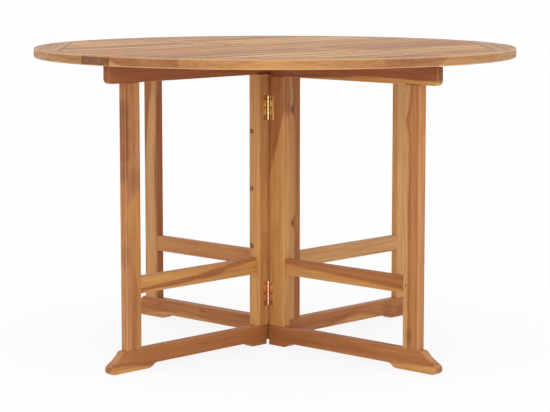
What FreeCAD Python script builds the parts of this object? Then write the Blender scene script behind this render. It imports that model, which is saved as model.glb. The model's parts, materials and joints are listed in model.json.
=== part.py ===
"""Round folding table in teak: a fixed centre board on a frame, two drop leaves and two swinging gates.

Millimetres. The origin is on the floor under the centre of the top, +Z is up and +X runs along the board.
The table looks the same after half a turn about Z, so what it has twice is drawn once, for the back
(arm towards +X, gate and leaf towards +Y, gate folding towards +X), and turned half round for the front.
"""
import FreeCAD, Part
import os

import Sketcher

SIZES = {
    # Table top
    "top_diameter": 1200,
    "table_height": 750,
    "top_thickness": 23,
    "board_width": 88,
    "leaf_gap": 3,
    "rim_width": 80,
    "rim_chamfer": 2.5,
    "slat_gap": 6,
    "middle_rail_width": 84,
    "arris": 1,
    "tongue_length": 10,
    "tongue_thickness": 8,
    "groove_room": 0.5,
    # Centre frame
    "post_thickness": 21,
    "end_post_width": 47,
    "end_post_setback": 83,
    "middle_post_width": 62,
    "hinge_post_width": 45,
    "hinge_post_thickness": 34,
    "rail_thickness": 20,
    "rail_height": 44,
    "rail_setback": 34,
    "rail_end_round": 12,
    "stretcher_level": 182.5,
    "stretcher_height": 41,
    "stretcher_thickness": 17,
    "tenon_length": 15,
    "tenon_thickness": 9,
    "tenon_shoulder": 6,
    "board_edge_ease": 1.5,
    # Feet
    "foot_height": 51.5,
    "foot_setback": 31,
    "foot_relief": 11,
    "foot_pad_length": 120,
    "foot_ogee_length": 30,
    "middle_pad_inner": 42,
    "middle_pad_outer": 89,
    "toe_flat": 10,
    "toe_nose_radius": 12,
    # Gates
    "gate_thickness": 24,
    "gate_gap": 3,
    "gate_inner_post_width": 50,
    "gate_outer_post_width": 47,
    "gate_post_setback": 96,
    "gate_rail_setback": 45,
    "gate_foot_setback": 40,
    "gate_drop": 5,
    # Rest blocks under the leaves
    "rest_gap": 0.3,
    "rest_block_setback": 150,
    "rest_block_length": 150,
    "rest_lip_depth": 9,
    "rest_lip_width": 7,
    # Butt hinges of the gates
    "butt_height": 61.5,
    "butt_lower_room": 49.5,
    "butt_upper_room": 52,
    "butt_reach": 17.5,
    "butt_pin_proud": 1.5,
    "butt_screw_pitch": 22.5,
    # Back-flap hinges of the leaves
    "flap_height": 50,
    "flap_reach": 24,
    "flap_setback": 140,
    "flap_screw_pitch": 30,
    # Both kinds of hinge
    "plate_thickness": 2,
    "barrel_radius": 3,
    "barrel_room": 0.5,
    "knuckle_gap": 0.15,
    "pin_radius": 1.6,
    "pin_clearance": 0.05,
    # Screws and plugs
    "screw_head_radius": 2.8,
    "screw_head_height": 1.4,
    "screw_radius": 1.5,
    "screw_length": 15,
    "screw_hole_clearance": 0.1,
    "long_screw_length": 56,
    "board_screw_reach": 250,
    "plug_radius": 6,
    "plug_length": 6,
    "plug_clearance": 0.05,
    "plug_lower_room": 201.5,
    "plug_upper_room": 142,
    "plug_offset": 8,
}
STRIP_COUNT = 7
BUTT_KNUCKLES = 6
FLAP_KNUCKLES = 3
PLUG_COUNT = 3
ROUND_SIDES = 10
HEAD_SIDES = 8
SHANK_SIDES = 6
REST_SCREW_SHARES = (0.2, 0.8)
RIM_SEGMENT_ANGLE = 45
NOSE_END_ANGLE = 65
HALF_TURN = 180
QUARTER_TURN = 90
PARALLEL_COSINE = 0.999
FLATNESS_SHARE = 0.001

X_AXIS = FreeCAD.Vector(1, 0, 0)
Y_AXIS = FreeCAD.Vector(0, 1, 0)
Z_AXIS = FreeCAD.Vector(0, 0, 1)
TOWARDS_X = FreeCAD.Rotation(Y_AXIS, QUARTER_TURN)
SCREWED_UP = FreeCAD.Rotation(X_AXIS, HALF_TURN)
# A hinge drawn on Z, laid along +X with its plate towards +y and its wood side up
LAID_OUTWARDS = FreeCAD.Rotation(Y_AXIS, Z_AXIS, X_AXIS, "XYZ")
# The same, with its plate towards -y
LAID_INWARDS = FreeCAD.Rotation(-Y_AXIS, -Z_AXIS, X_AXIS, "XYZ")

doc = FreeCAD.newDocument("table")
sheet = doc.addObject("Spreadsheet::Sheet", "Sizes")
for row, (alias, size) in enumerate(SIZES.items(), start=1):
    sheet.set(f"A{row}", alias)
    sheet.set(f"B{row}", str(size))
    sheet.setAlias(f"B{row}", alias)
doc.recompute()


def cell(alias):
    """The expression that reads one size from the sheet."""
    return f"Sizes.{alias}"


def value(expression):
    """The number that an expression gives now."""
    return float(sheet.evalExpression(expression))


def half(expression):
    return f"(({expression}) / 2)"


def minus(expression):
    return f"(-({expression}))"


def from_rim(setback):
    """How far out a place is that keeps its distance from the top's edge."""
    return f"({TOP_RADIUS} - {cell(setback)})"


# Places that several pieces share, as expressions
TOP_RADIUS = half(cell("top_diameter"))
UNDER_TOP = f"({cell('table_height')} - {cell('top_thickness')})"
TONGUE_LOW = f"({UNDER_TOP} + ({cell('top_thickness')} - {cell('tongue_thickness')}) / 2)"
TONGUE_HIGH = f"({TONGUE_LOW} + {cell('tongue_thickness')})"
BOARD_EDGE = half(cell("board_width"))
LEAF_EDGE = f"({BOARD_EDGE} + {cell('leaf_gap')})"
RIM_APOTHEM = from_rim("rim_width")
STRIP_PITCH = f"(({RIM_APOTHEM} - {LEAF_EDGE}) / {STRIP_COUNT})"
STRIP_WIDTH = f"({STRIP_PITCH} - {cell('slat_gap')})"
HINGE_RAIL_EDGE = f"({LEAF_EDGE} + {STRIP_WIDTH})"
MIDDLE_RAIL_EDGE = half(cell("middle_rail_width"))
HALF_SEGMENT = f"({RIM_SEGMENT_ANGLE} / 2)"

RAIL_UNDER = f"({UNDER_TOP} - {cell('rail_height')})"
FOOT_TOP = cell("foot_height")
FRAME_FACE = half(cell("hinge_post_thickness"))
HINGE_POST_INNER = half(cell("middle_post_width"))
HINGE_POST_OUTER = f"({HINGE_POST_INNER} + {cell('hinge_post_width')})"
END_POST_OUTER = from_rim("end_post_setback")
END_POST_INNER = f"({END_POST_OUTER} - {cell('end_post_width')})"
PLUG_SEAT = f"({HINGE_POST_OUTER} - {cell('plug_length')})"

# The gate's hinge axis, seen from above: just proud of the frame's face and of the gate's face
GATE_AXIS_Y = f"({FRAME_FACE} + {cell('butt_pin_proud')})"
GATE_AXIS_X = f"({HINGE_POST_INNER} + {cell('gate_thickness')} / 2 + {cell('butt_pin_proud')})"
GATE_FACE = half(cell("gate_thickness"))
GATE_MIDDLE_X = f"({GATE_AXIS_X} - {cell('butt_pin_proud')} - {GATE_FACE})"
GATE_END = f"({FRAME_FACE} + {cell('gate_gap')} - {GATE_AXIS_Y})"
GATE_RAIL_TOP = f"({UNDER_TOP} - {cell('gate_drop')})"
GATE_RAIL_UNDER = f"({GATE_RAIL_TOP} - {cell('rail_height')})"
GATE_INNER_POST_END = f"({GATE_END} + {cell('gate_inner_post_width')})"
GATE_OUTER_POST_END = f"({from_rim('gate_post_setback')} - {GATE_AXIS_Y})"
GATE_OUTER_POST_START = f"({GATE_OUTER_POST_END} - {cell('gate_outer_post_width')})"
FLAP_AXIS_Y = f"({BOARD_EDGE} + {cell('leaf_gap')} / 2)"
FLAP_OFFSET = f"({RIM_APOTHEM} - {cell('flap_setback')})"

STRETCHER_Z = (cell("stretcher_level"), f"({cell('stretcher_level')} + {cell('stretcher_height')})")
BARREL_ROOM = f"({cell('barrel_radius')} + {cell('barrel_room')})"
BUTT_LEVELS = (
    f"({FOOT_TOP} + {cell('butt_lower_room')})",
    f"({RAIL_UNDER} - {cell('butt_upper_room')} - {cell('butt_height')})",
)
SIDES = {"front": HALF_TURN, "back": 0}

sub_parts = []


def place(target, angle=0, x="0", y="0", z="0", turned=0, tilt=None):
    """Stand a piece at a point of the back half, then turn it with that half."""
    turn = FreeCAD.Rotation(Z_AXIS, angle + turned)
    if tilt is not None:
        turn = turn.multiply(tilt)
    target.Placement = FreeCAD.Placement(FreeCAD.Vector(), turn)
    target.setExpression("Placement.Base.x", minus(x) if turned else x)
    target.setExpression("Placement.Base.y", minus(y) if turned else y)
    target.setExpression("Placement.Base.z", z)


def new_body(label):
    body = doc.addObject("PartDesign::Body", label)
    body.Label = label
    return body


def keep(sub_part):
    """Note a finished sub-part, which is exported under its label."""
    sub_parts.append(sub_part)
    return sub_part


def group(label, members):
    """Like pieces that share one node, each its own solid."""
    compound = doc.addObject("Part::Compound", label)
    compound.Label = label
    compound.Links = members
    return keep(compound)


def add_box(body, spans, kind="Additive"):
    """A block of the body, or a cut in it, from (low, high) expressions along x, y and z."""
    block = body.newObject(f"PartDesign::{kind}Box", f"{kind}_block")
    for length, axis, (low, high) in zip(("Length", "Width", "Height"), "xyz", spans):
        block.setExpression(length, f"({high}) - ({low})")
        block.setExpression(f"Placement.Base.{axis}", low)
    return block


def add_prism(body, sides, radius, height, x="0", y="0", z="0", kind="Additive", tilt=None):
    """A small round piece of the body, or a hole in it, in a few flats; tilt leans its axis from +Z."""
    solid = body.newObject(f"PartDesign::{kind}Prism", f"{kind}_prism")
    solid.Polygon = sides
    solid.setExpression("Circumradius", radius)
    solid.setExpression("Height", height)
    if tilt is not None:
        solid.Placement = FreeCAD.Placement(FreeCAD.Vector(), tilt)
    for axis, offset in zip("xyz", (x, y, z)):
        solid.setExpression(f"Placement.Base.{axis}", offset)
    return solid


def corner_radius(radius, sides):
    """The radius to the corners of a hole whose flats clear a round piece of the given radius."""
    return f"({radius}) / cos({HALF_TURN} / {sides})"


def arc_between(start, end, radius, turning):
    """An arc of under half a circle from start to end; turning is 1 to the left and -1 to the right."""
    chord = end - start
    rise = (radius ** 2 - (chord.Length / 2) ** 2) ** 0.5
    left = FreeCAD.Vector(-chord.y, chord.x, 0).normalize()
    centre = (start + end) / 2 + left * (turning * rise)
    first, last = (start, end) if turning > 0 else (end, start)
    angles = [X_AXIS.getAngle(point - centre) for point in (first, last)]
    angles = [-a if (point - centre).y < 0 else a for a, point in zip(angles, (first, last))]
    return Part.ArcOfCircle(Part.Circle(centre, Z_AXIS, radius), *angles)


def add_outline(body, plane_role, points, level="0"):
    """A closed sketch. A point is (x, y), or (x, y, radius, turning) where an arc leaves it."""
    sketch = body.newObject("Sketcher::SketchObject", "Outline")
    plane = next(item for item in body.Origin.OriginFeatures if item.Role == plane_role)
    sketch.AttachmentSupport = [(plane, "")]
    sketch.MapMode = "FlatFace"
    sketch.setExpression("AttachmentOffset.Base.z", level)
    corners = [FreeCAD.Vector(value(point[0]), value(point[1]), 0) for point in points]
    starts = []
    for number, point in enumerate(points):
        start, end = corners[number], corners[(number + 1) % len(points)]
        if len(point) > 2:
            sketch.addGeometry(arc_between(start, end, value(point[2]), point[3]), False)
            starts.append(1 if point[3] > 0 else 2)
        else:
            sketch.addGeometry(Part.LineSegment(start, end), False)
            starts.append(1)
    for number, point in enumerate(points):
        following = (number + 1) % len(points)
        far_end = 3 - starts[number]
        sketch.addConstraint(Sketcher.Constraint("Coincident", number, far_end, following, starts[following]))
        for kind, size, expression in zip(("DistanceX", "DistanceY"), corners[number], point):
            bind_constraint(sketch, Sketcher.Constraint(kind, number, starts[number], size), expression)
        if len(point) > 2:
            bind_constraint(sketch, Sketcher.Constraint("Radius", number, value(point[2])), point[2])
    return sketch


def bind_constraint(sketch, constraint, expression):
    index = sketch.addConstraint(constraint)
    sketch.setExpression(f"Constraints[{index}]", expression)


def add_pad(body, sketch, length, both_ways=False):
    pad = body.newObject("PartDesign::Pad", "Pad")
    pad.Profile = sketch
    pad.setExpression("Length", length)
    if both_ways:
        pad.SideType = "Symmetric"
    return pad


def add_pocket(body, sketch, length):
    """A cut that goes down from its sketch."""
    pocket = body.newObject("PartDesign::Pocket", "Pocket")
    pocket.Profile = sketch
    pocket.setExpression("Length", length)
    return pocket


def ease(body, feature, size, wanted):
    """Take the sharp arris off the feature's edges for which wanted(edge) holds."""
    doc.recompute()
    names = [f"Edge{number}" for number, edge in enumerate(feature.Shape.Edges, start=1) if wanted(edge)]
    eased = body.newObject("PartDesign::Chamfer", "Chamfer")
    eased.Base = (feature, names)
    eased.setExpression("Size", size)
    return eased


def is_straight(edge):
    return edge.Curve.TypeId == "Part::GeomLine"


def runs_along(axis):
    """A test for straight edges that run along an axis."""
    def test(edge):
        return is_straight(edge) and abs(edge.tangentAt(edge.FirstParameter).dot(axis)) > PARALLEL_COSINE

    return test


def lies_flat(edge):
    """Whether an edge lies in a level plane, as the arrises of a flat piece do."""
    return edge.BoundBox.ZLength < edge.Length * FLATNESS_SHARE


def lies_upright(edge):
    """Whether an edge lies in a plane square to Y, as the arrises of a foot or rail profile do."""
    return edge.BoundBox.YLength < edge.Length * FLATNESS_SHARE


def is_rim_arc(edge):
    return lies_flat(edge) and not is_straight(edge)


def half_turned(spans):
    """The same block on the other half of the frame."""
    (x_low, x_high), (y_low, y_high), z_span = spans
    return ((minus(x_high), minus(x_low)), (minus(y_high), minus(y_low)), z_span)


def tenon_spans(spans, along):
    """The two tenons on a board's ends: thinner in y, and shouldered in its other direction."""
    centre_y = f"(({spans[1][0]}) + ({spans[1][1]})) / 2"
    reach = half(cell("tenon_thickness"))
    y_span = (f"{centre_y} - {reach}", f"{centre_y} + {reach}")
    across = spans[2 - along]
    across_span = (f"({across[0]}) + {cell('tenon_shoulder')}", f"({across[1]}) - {cell('tenon_shoulder')}")
    low, high = spans[along]
    ends = ((f"({low}) - {cell('tenon_length')}", low), (high, f"({high}) + {cell('tenon_length')}"))
    if along == 0:
        return [(end, y_span, across_span) for end in ends]
    return [(across_span, y_span, end) for end in ends]


def tenoned_board(label, spans, along):
    """A straight board with eased long arrises and a tenon on each end; along is 0 for x and 2 for z."""
    body = new_body(label)
    block = add_box(body, spans)
    ease(body, block, cell("board_edge_ease"), runs_along(X_AXIS if along == 0 else Z_AXIS))
    for tenon in tenon_spans(spans, along):
        add_box(body, tenon)
    return body


def centred(width):
    return (minus(half(width)), half(width))


# Spans of the centre frame's boards, on the back half
POST_Z = (FOOT_TOP, RAIL_UNDER)
END_POST = ((END_POST_INNER, END_POST_OUTER), centred(cell("post_thickness")), POST_Z)
HINGE_POST = ((HINGE_POST_INNER, HINGE_POST_OUTER), centred(cell("hinge_post_thickness")), POST_Z)
FRAME_STRETCHER_Y = (
    minus(half(cell("post_thickness"))),
    f"{cell('stretcher_thickness')} - {cell('post_thickness')} / 2",
)
FRAME_STRETCHER = ((HINGE_POST_OUTER, END_POST_INNER), FRAME_STRETCHER_Y, STRETCHER_Z)

# Spans of a gate's boards: x outwards from its hinge axis, y across from its middle
GATE_Y = (minus(GATE_FACE), GATE_FACE)
GATE_POST_Z = (FOOT_TOP, GATE_RAIL_UNDER)
GATE_INNER_POST = ((GATE_END, GATE_INNER_POST_END), GATE_Y, GATE_POST_Z)
GATE_OUTER_POST = ((GATE_OUTER_POST_START, GATE_OUTER_POST_END), GATE_Y, GATE_POST_Z)
GATE_STRETCHER_Y = (f"{GATE_FACE} - {cell('stretcher_thickness')}", GATE_FACE)
GATE_STRETCHER = ((GATE_INNER_POST_END, GATE_OUTER_POST_START), GATE_STRETCHER_Y, STRETCHER_Z)


def mortise(body, spans):
    return add_box(body, spans, "Subtractive")


def ogee(start, way, rising):
    """Two points of an S-shaped run of a foot's underside, towards +x or -x, up from a pad or down to one."""
    run = cell("foot_ogee_length")
    relief = cell("foot_relief")
    radius = f"({run}^2 + {relief}^2) / (4 * {relief})"
    first = way if rising else -way
    low = "0" if rising else relief
    return [
        (start, low, radius, first),
        (f"({start}) + {way} * {run} / 2", half(relief), radius, -first),
    ]


def toe(reach, post_end):
    """A foot's outer end, from the floor up: a round nose that runs smoothly into a hollow slope."""
    nose = cell("toe_nose_radius")
    nose_centre = f"({reach}) - {nose}"
    nose_end = (
        f"({nose_centre} + {nose} * cos({NOSE_END_ANGLE}))",
        f"({nose} + {nose} * sin({NOSE_END_ANGLE}))",
    )
    slope_end = f"({post_end} + {cell('toe_flat')})"
    run = f"({nose_end[0]} - {slope_end})"
    rise = f"({FOOT_TOP} - {nose_end[1]})"
    hollow = f"({run}^2 + {rise}^2) / (2 * ({rise} * sin({NOSE_END_ANGLE}) - {run} * cos({NOSE_END_ANGLE})))"
    return [(nose_centre, "0", nose, 1), (*nose_end, hollow, -1), (slope_end, FOOT_TOP)]


def foot_run(reach, post_end, inner_pad_end):
    """A foot's underside and toe from the end of its inner pad outwards."""
    pad_start = f"({reach}) - {cell('foot_pad_length')}"
    relief_end = f"({pad_start}) - {cell('foot_ogee_length')}"
    relief_start = f"({inner_pad_end}) + {cell('foot_ogee_length')}"
    return (
        ogee(inner_pad_end, 1, True)
        + [(relief_start, cell("foot_relief"))]
        + ogee(relief_end, 1, False)
        + [(pad_start, "0")]
        + toe(reach, post_end)
    )


def mirrored(points):
    """The same run of an outline on the other side of x = 0, in the opposite order."""
    run = []
    for number in range(len(points) - 1, -1, -1):
        before = points[number - 1] if number else ()
        run.append((minus(points[number][0]), points[number][1], *before[2:]))
    return run


def profile_board(label, points, thickness, eased):
    """A board cut to an outline in the upright plane y = 0; eased picks the arrises that are eased."""
    body = new_body(label)
    pad = add_pad(body, add_outline(body, "XZ_Plane", points), thickness, both_ways=True)
    ease(body, pad, cell("board_edge_ease"), eased)
    return body


def is_foot_top(edge):
    return runs_along(X_AXIS)(edge) and edge.CenterOfMass.z > value(half(FOOT_TOP))


def frame_foot():
    half_run = [
        (cell("middle_pad_inner"), cell("foot_relief")),
        (cell("middle_pad_inner"), "0"),
        *foot_run(from_rim("foot_setback"), END_POST_OUTER, cell("middle_pad_outer")),
    ]
    body = profile_board("frame_foot", half_run + mirrored(half_run), cell("post_thickness"), is_foot_top)
    for post in (END_POST, HINGE_POST):
        lower_tenon = tenon_spans(post, 2)[0]
        mortise(body, lower_tenon)
        mortise(body, half_turned(lower_tenon))
    return keep(body)


def rail_end(reach, low, high):
    """A top rail's outer end, from its underside up, with the lower corner rounded."""
    corner = cell("rail_end_round")
    return [
        (f"{reach} - {corner}", low, corner, 1),
        (reach, f"{low} + {corner}"),
        (reach, high),
    ]


def frame_top_rail():
    half_run = rail_end(from_rim("rail_setback"), RAIL_UNDER, UNDER_TOP)
    body = profile_board("frame_top_rail", half_run + mirrored(half_run), cell("rail_thickness"), lies_upright)
    for post in (END_POST, HINGE_POST):
        upper_tenon = tenon_spans(post, 2)[1]
        mortise(body, upper_tenon)
        mortise(body, half_turned(upper_tenon))
    return keep(body)


def end_post(side):
    body = tenoned_board(f"end_post_{side}", END_POST, 2)
    mortise(body, tenon_spans(FRAME_STRETCHER, 0)[1])
    place(body, turned=SIDES[side])
    return keep(body)


def plug_levels():
    lowest = f"({FOOT_TOP} + {cell('plug_lower_room')})"
    highest = f"({RAIL_UNDER} - {cell('plug_upper_room')})"
    pitch = f"({highest} - {lowest}) / ({PLUG_COUNT} - 1)"
    return [f"{lowest} + {number} * {pitch}" for number in range(PLUG_COUNT)]


def hinge_post(side):
    body = tenoned_board(f"hinge_post_{side}", HINGE_POST, 2)
    mortise(body, tenon_spans(FRAME_STRETCHER, 0)[0])
    for level in BUTT_LEVELS:
        plate_x = (GATE_AXIS_X, f"{GATE_AXIS_X} + {cell('butt_reach')}")
        barrel_x = (f"{GATE_AXIS_X} - {BARREL_ROOM}", f"{GATE_AXIS_X} + {BARREL_ROOM}")
        recess_y = (f"{FRAME_FACE} - {cell('plate_thickness')}", GATE_AXIS_Y)
        top = f"{level} + {cell('butt_height')}"
        mortise(body, (plate_x, recess_y, (level, top)))
        mortise(body, (barrel_x, recess_y, (f"{level} - {cell('barrel_room')}", f"{top} + {cell('barrel_room')}")))
    for level in plug_levels():
        hole = corner_radius(f"{cell('plug_radius')} + {cell('plug_clearance')}", ROUND_SIDES)
        overrun = f"{cell('plug_length')} * 2"
        seat = (PLUG_SEAT, minus(cell("plug_offset")), level)
        add_prism(body, ROUND_SIDES, hole, overrun, *seat, kind="Subtractive", tilt=TOWARDS_X)
    place(body, turned=SIDES[side])
    return keep(body)


def middle_post():
    body = new_body("middle_post")
    spans = (centred(cell("middle_post_width")), centred(cell("hinge_post_thickness")), POST_Z)
    block = add_box(body, spans)
    ease(body, block, cell("board_edge_ease"), runs_along(Z_AXIS))
    return keep(body)


def frame_stretcher(side):
    body = tenoned_board(f"frame_stretcher_{side}", FRAME_STRETCHER, 0)
    place(body, turned=SIDES[side])
    return keep(body)


def post_plugs():
    plugs = []
    for turned in SIDES.values():
        for level in plug_levels():
            body = new_body("plug")
            add_prism(body, ROUND_SIDES, cell("plug_radius"), cell("plug_length"))
            place(body, 0, PLUG_SEAT, minus(cell("plug_offset")), level, turned, TOWARDS_X)
            plugs.append(body)
    return group("post_plugs", plugs)


def screw(length):
    """A wood screw that points along -Z, its sunk head's face at z = 0."""
    body = new_body("screw")
    head = cell("screw_head_height")
    add_prism(body, HEAD_SIDES, cell("screw_head_radius"), head, z=minus(head))
    add_prism(body, SHANK_SIDES, cell("screw_radius"), f"{length} - {head}", z=minus(length))
    return body


def post_screws():
    """The screws under the plugs, through the hinge posts into the middle post."""
    screws = []
    for turned in SIDES.values():
        for level in plug_levels():
            body = screw(cell("long_screw_length"))
            place(body, 0, PLUG_SEAT, minus(cell("plug_offset")), level, turned, TOWARDS_X)
            screws.append(body)
    return group("post_screws", screws)


def board_screws():
    """The screws up through the top rail into the centre board."""
    screws = []
    for turned in SIDES.values():
        body = screw(cell("long_screw_length"))
        place(body, 0, cell("board_screw_reach"), "0", RAIL_UNDER, turned, SCREWED_UP)
        screws.append(body)
    return group("board_screws", screws)


def flap_recesses(first_y, last_y, depth, spare="0"):
    """Cuts for the leaves' hinges in an underside, between two distances from the middle."""
    recesses = []
    reach = f"({cell('flap_height')} / 2 + {spare})"
    for way in (1, -1):
        middle = f"{way} * {FLAP_OFFSET}"
        x_span = (f"{middle} - {reach}", f"{middle} + {reach}")
        z_span = (f"{UNDER_TOP} - {depth}", f"{UNDER_TOP} + {depth}")
        recesses.append((x_span, (first_y, last_y), z_span))
    return recesses


def hinge_recesses(outwards):
    """Cuts for the plates and barrels of the leaves' hinges, in the leaf (1) or in the centre board (-1)."""
    recesses = []
    for reach, depth, spare in (
        (cell("flap_reach"), cell("plate_thickness"), "0"),
        (BARREL_ROOM, BARREL_ROOM, cell("barrel_room")),
    ):
        far_y = f"{FLAP_AXIS_Y} + {outwards} * {reach}"
        y_span = (FLAP_AXIS_Y, far_y) if outwards > 0 else (far_y, FLAP_AXIS_Y)
        recesses += flap_recesses(*y_span, depth, spare)
    return recesses


def rim_corner_x(y):
    """How far out the top's edge is at a distance from the long axis."""
    return f"sqrt({TOP_RADIUS}^2 - ({y})^2)"


def ease_flat_piece(body, pad):
    """Ease the rim's arrises, then break the straight ones."""
    eased = ease(body, pad, cell("rim_chamfer"), is_rim_arc)
    return ease(body, eased, cell("arris"), is_long_flat_edge)


def is_long_flat_edge(edge):
    return lies_flat(edge) and is_straight(edge) and edge.Length > value(cell("rim_chamfer")) * 2


def centre_board():
    body = new_body("centre_board")
    end = rim_corner_x(BOARD_EDGE)
    points = [
        (end, minus(BOARD_EDGE), TOP_RADIUS, 1),
        (end, BOARD_EDGE),
        (minus(end), BOARD_EDGE, TOP_RADIUS, 1),
        (minus(end), minus(BOARD_EDGE)),
    ]
    pad = add_pad(body, add_outline(body, "XY_Plane", points, UNDER_TOP), cell("top_thickness"))
    ease_flat_piece(body, pad)
    for recess in hinge_recesses(-1):
        mortise(body, recess)
        mortise(body, half_turned(recess))
    return keep(body)


def gate_foot(side):
    inner_pad_end = GATE_INNER_POST_END
    reach = f"{from_rim('gate_foot_setback')} - {GATE_AXIS_Y}"
    points = [
        (GATE_END, FOOT_TOP),
        (GATE_END, "0"),
        *foot_run(reach, GATE_OUTER_POST_END, inner_pad_end),
    ]
    body = profile_board(f"gate_{side}_foot", points, cell("gate_thickness"), is_foot_top)
    for post in (GATE_INNER_POST, GATE_OUTER_POST):
        mortise(body, tenon_spans(post, 2)[0])
    return body


def gate_top_rail(side):
    reach = f"{from_rim('gate_rail_setback')} - {GATE_AXIS_Y}"
    points = [
        (GATE_END, GATE_RAIL_TOP),
        (GATE_END, GATE_RAIL_UNDER),
        *rail_end(reach, GATE_RAIL_UNDER, GATE_RAIL_TOP),
    ]
    body = profile_board(f"gate_{side}_top_rail", points, cell("rail_thickness"), lies_upright)
    for post in (GATE_INNER_POST, GATE_OUTER_POST):
        mortise(body, tenon_spans(post, 2)[1])
    return body


def gate_inner_post(side):
    body = tenoned_board(f"gate_{side}_inner_post", GATE_INNER_POST, 2)
    mortise(body, tenon_spans(GATE_STRETCHER, 0)[0])
    for level in BUTT_LEVELS:
        recess_x = ("0", cell("butt_reach"))
        recess_y = (f"-{GATE_FACE} - {cell('butt_pin_proud')}", f"{cell('plate_thickness')} - {GATE_FACE}")
        mortise(body, (recess_x, recess_y, (level, f"{level} + {cell('butt_height')}")))
    return body


def gate_outer_post(side):
    body = tenoned_board(f"gate_{side}_outer_post", GATE_OUTER_POST, 2)
    mortise(body, tenon_spans(GATE_STRETCHER, 0)[1])
    return body


def gate(side):
    """One gate's woodwork, hung by its middle plane on the hinge axis."""
    boards = [
        gate_foot(side),
        gate_top_rail(side),
        gate_inner_post(side),
        gate_outer_post(side),
        tenoned_board(f"gate_{side}_stretcher", GATE_STRETCHER, 0),
    ]
    for body in boards:
        place(body, QUARTER_TURN, GATE_MIDDLE_X, GATE_AXIS_Y, turned=SIDES[side])
        keep(body)


def hinge_leaf(height, reach, pin_proud, screw_places, knuckle_count, first_knuckle, into_wood):
    """One leaf of a hinge whose axis is Z: its plate lies along +x, let into wood towards into_wood * y.

    It has every other knuckle of the barrel, from first_knuckle up.
    """
    body = new_body("hinge_leaf")
    thickness = cell("plate_thickness")
    near, far = (f"{into_wood} * {pin_proud}", f"{into_wood} * ({pin_proud} + {thickness})")
    y_span = (near, far) if into_wood > 0 else (far, near)
    add_box(body, ((BARREL_ROOM, reach), y_span, ("0", height)))
    knuckle = f"({height} / {knuckle_count})"
    for number in range(first_knuckle, knuckle_count, 2):
        bottom = f"{number} * {knuckle} + {cell('knuckle_gap')}"
        tall = f"{knuckle} - 2 * {cell('knuckle_gap')}"
        add_box(body, (("0", BARREL_ROOM), y_span, (bottom, f"{bottom} + {tall}")))
        add_prism(body, ROUND_SIDES, cell("barrel_radius"), tall, z=bottom)
    bore = corner_radius(f"{cell('pin_radius')} + {cell('pin_clearance')}", ROUND_SIDES)
    add_prism(body, ROUND_SIDES, bore, height, kind="Subtractive")
    head = cell("screw_head_height")
    room = cell("screw_hole_clearance")
    lean = FreeCAD.Rotation(X_AXIS, -QUARTER_TURN * into_wood)
    for level in screw_places:
        spot = (hinge_screw_x(reach), near, level)
        for sides, radius, depth in (
            (HEAD_SIDES, cell("screw_head_radius"), head),
            (SHANK_SIDES, cell("screw_radius"), f"{thickness} * 2"),
        ):
            hole = corner_radius(f"{radius} + {room}", sides)
            add_prism(body, sides, hole, depth, *spot, kind="Subtractive", tilt=lean)
    return body


def hinge_screw_x(reach):
    """Screws stand in the middle of the flat part of a plate."""
    return f"(({reach}) + {BARREL_ROOM}) / 2"


def hinge_screw(into_wood):
    """A hinge screw at the origin, driven towards into_wood * y."""
    body = screw(cell("screw_length"))
    return body, FreeCAD.Rotation(X_AXIS, QUARTER_TURN * into_wood)


def hinge_pin(height):
    """A pin on Z, as long as its barrel."""
    body = new_body("hinge_pin")
    pin = body.newObject("PartDesign::AdditiveCylinder", "Pin")
    pin.setExpression("Radius", cell("pin_radius"))
    pin.setExpression("Height", height)
    return body


BUTT_SCREWS = [f"{cell('butt_height')} / 2 + {number} * {cell('butt_screw_pitch')}" for number in (-1, 0, 1)]
FLAP_SCREWS = [f"{cell('flap_height')} / 2 + {way} * {cell('flap_screw_pitch')} / 2" for way in (-1, 1)]


def butt_leaf(first_knuckle, into_wood):
    sizes = (cell("butt_height"), cell("butt_reach"), cell("butt_pin_proud"))
    return hinge_leaf(*sizes, BUTT_SCREWS, BUTT_KNUCKLES, first_knuckle, into_wood)


def flap_leaf(first_knuckle, into_wood):
    sizes = (cell("flap_height"), cell("flap_reach"), "0")
    return hinge_leaf(*sizes, FLAP_SCREWS, FLAP_KNUCKLES, first_knuckle, into_wood)


def gate_hinges():
    """Both gates' butt hinges: the frame's halves with the pins, then each gate's halves."""
    frame_leaves, pins, frame_screws = [], [], []
    screw_x = hinge_screw_x(cell("butt_reach"))
    for side, turned in SIDES.items():
        gate_leaves, gate_screws = [], []
        for level in BUTT_LEVELS:
            leaf = butt_leaf(0, -1)
            place(leaf, 0, GATE_AXIS_X, GATE_AXIS_Y, level, turned)
            frame_leaves.append(leaf)
            pin = hinge_pin(cell("butt_height"))
            place(pin, 0, GATE_AXIS_X, GATE_AXIS_Y, level, turned)
            pins.append(pin)
            leaf = butt_leaf(1, 1)
            place(leaf, QUARTER_TURN, GATE_AXIS_X, GATE_AXIS_Y, level, turned)
            gate_leaves.append(leaf)
            for height in BUTT_SCREWS:
                screw_level = f"{level} + {height}"
                body, lean = hinge_screw(-1)
                place(body, 0, f"{GATE_AXIS_X} + {screw_x}", FRAME_FACE, screw_level, turned, lean)
                frame_screws.append(body)
                body, lean = hinge_screw(1)
                face_x = f"{GATE_AXIS_X} - {cell('butt_pin_proud')}"
                place(body, QUARTER_TURN, face_x, f"{GATE_AXIS_Y} + {screw_x}", screw_level, turned, lean)
                gate_screws.append(body)
        group(f"gate_{side}_hinge_leaves", gate_leaves)
        group(f"gate_{side}_hinge_screws", gate_screws)
    group("gate_hinge_frame_leaves", frame_leaves)
    group("gate_hinge_pins", pins)
    group("gate_hinge_frame_screws", frame_screws)


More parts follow.
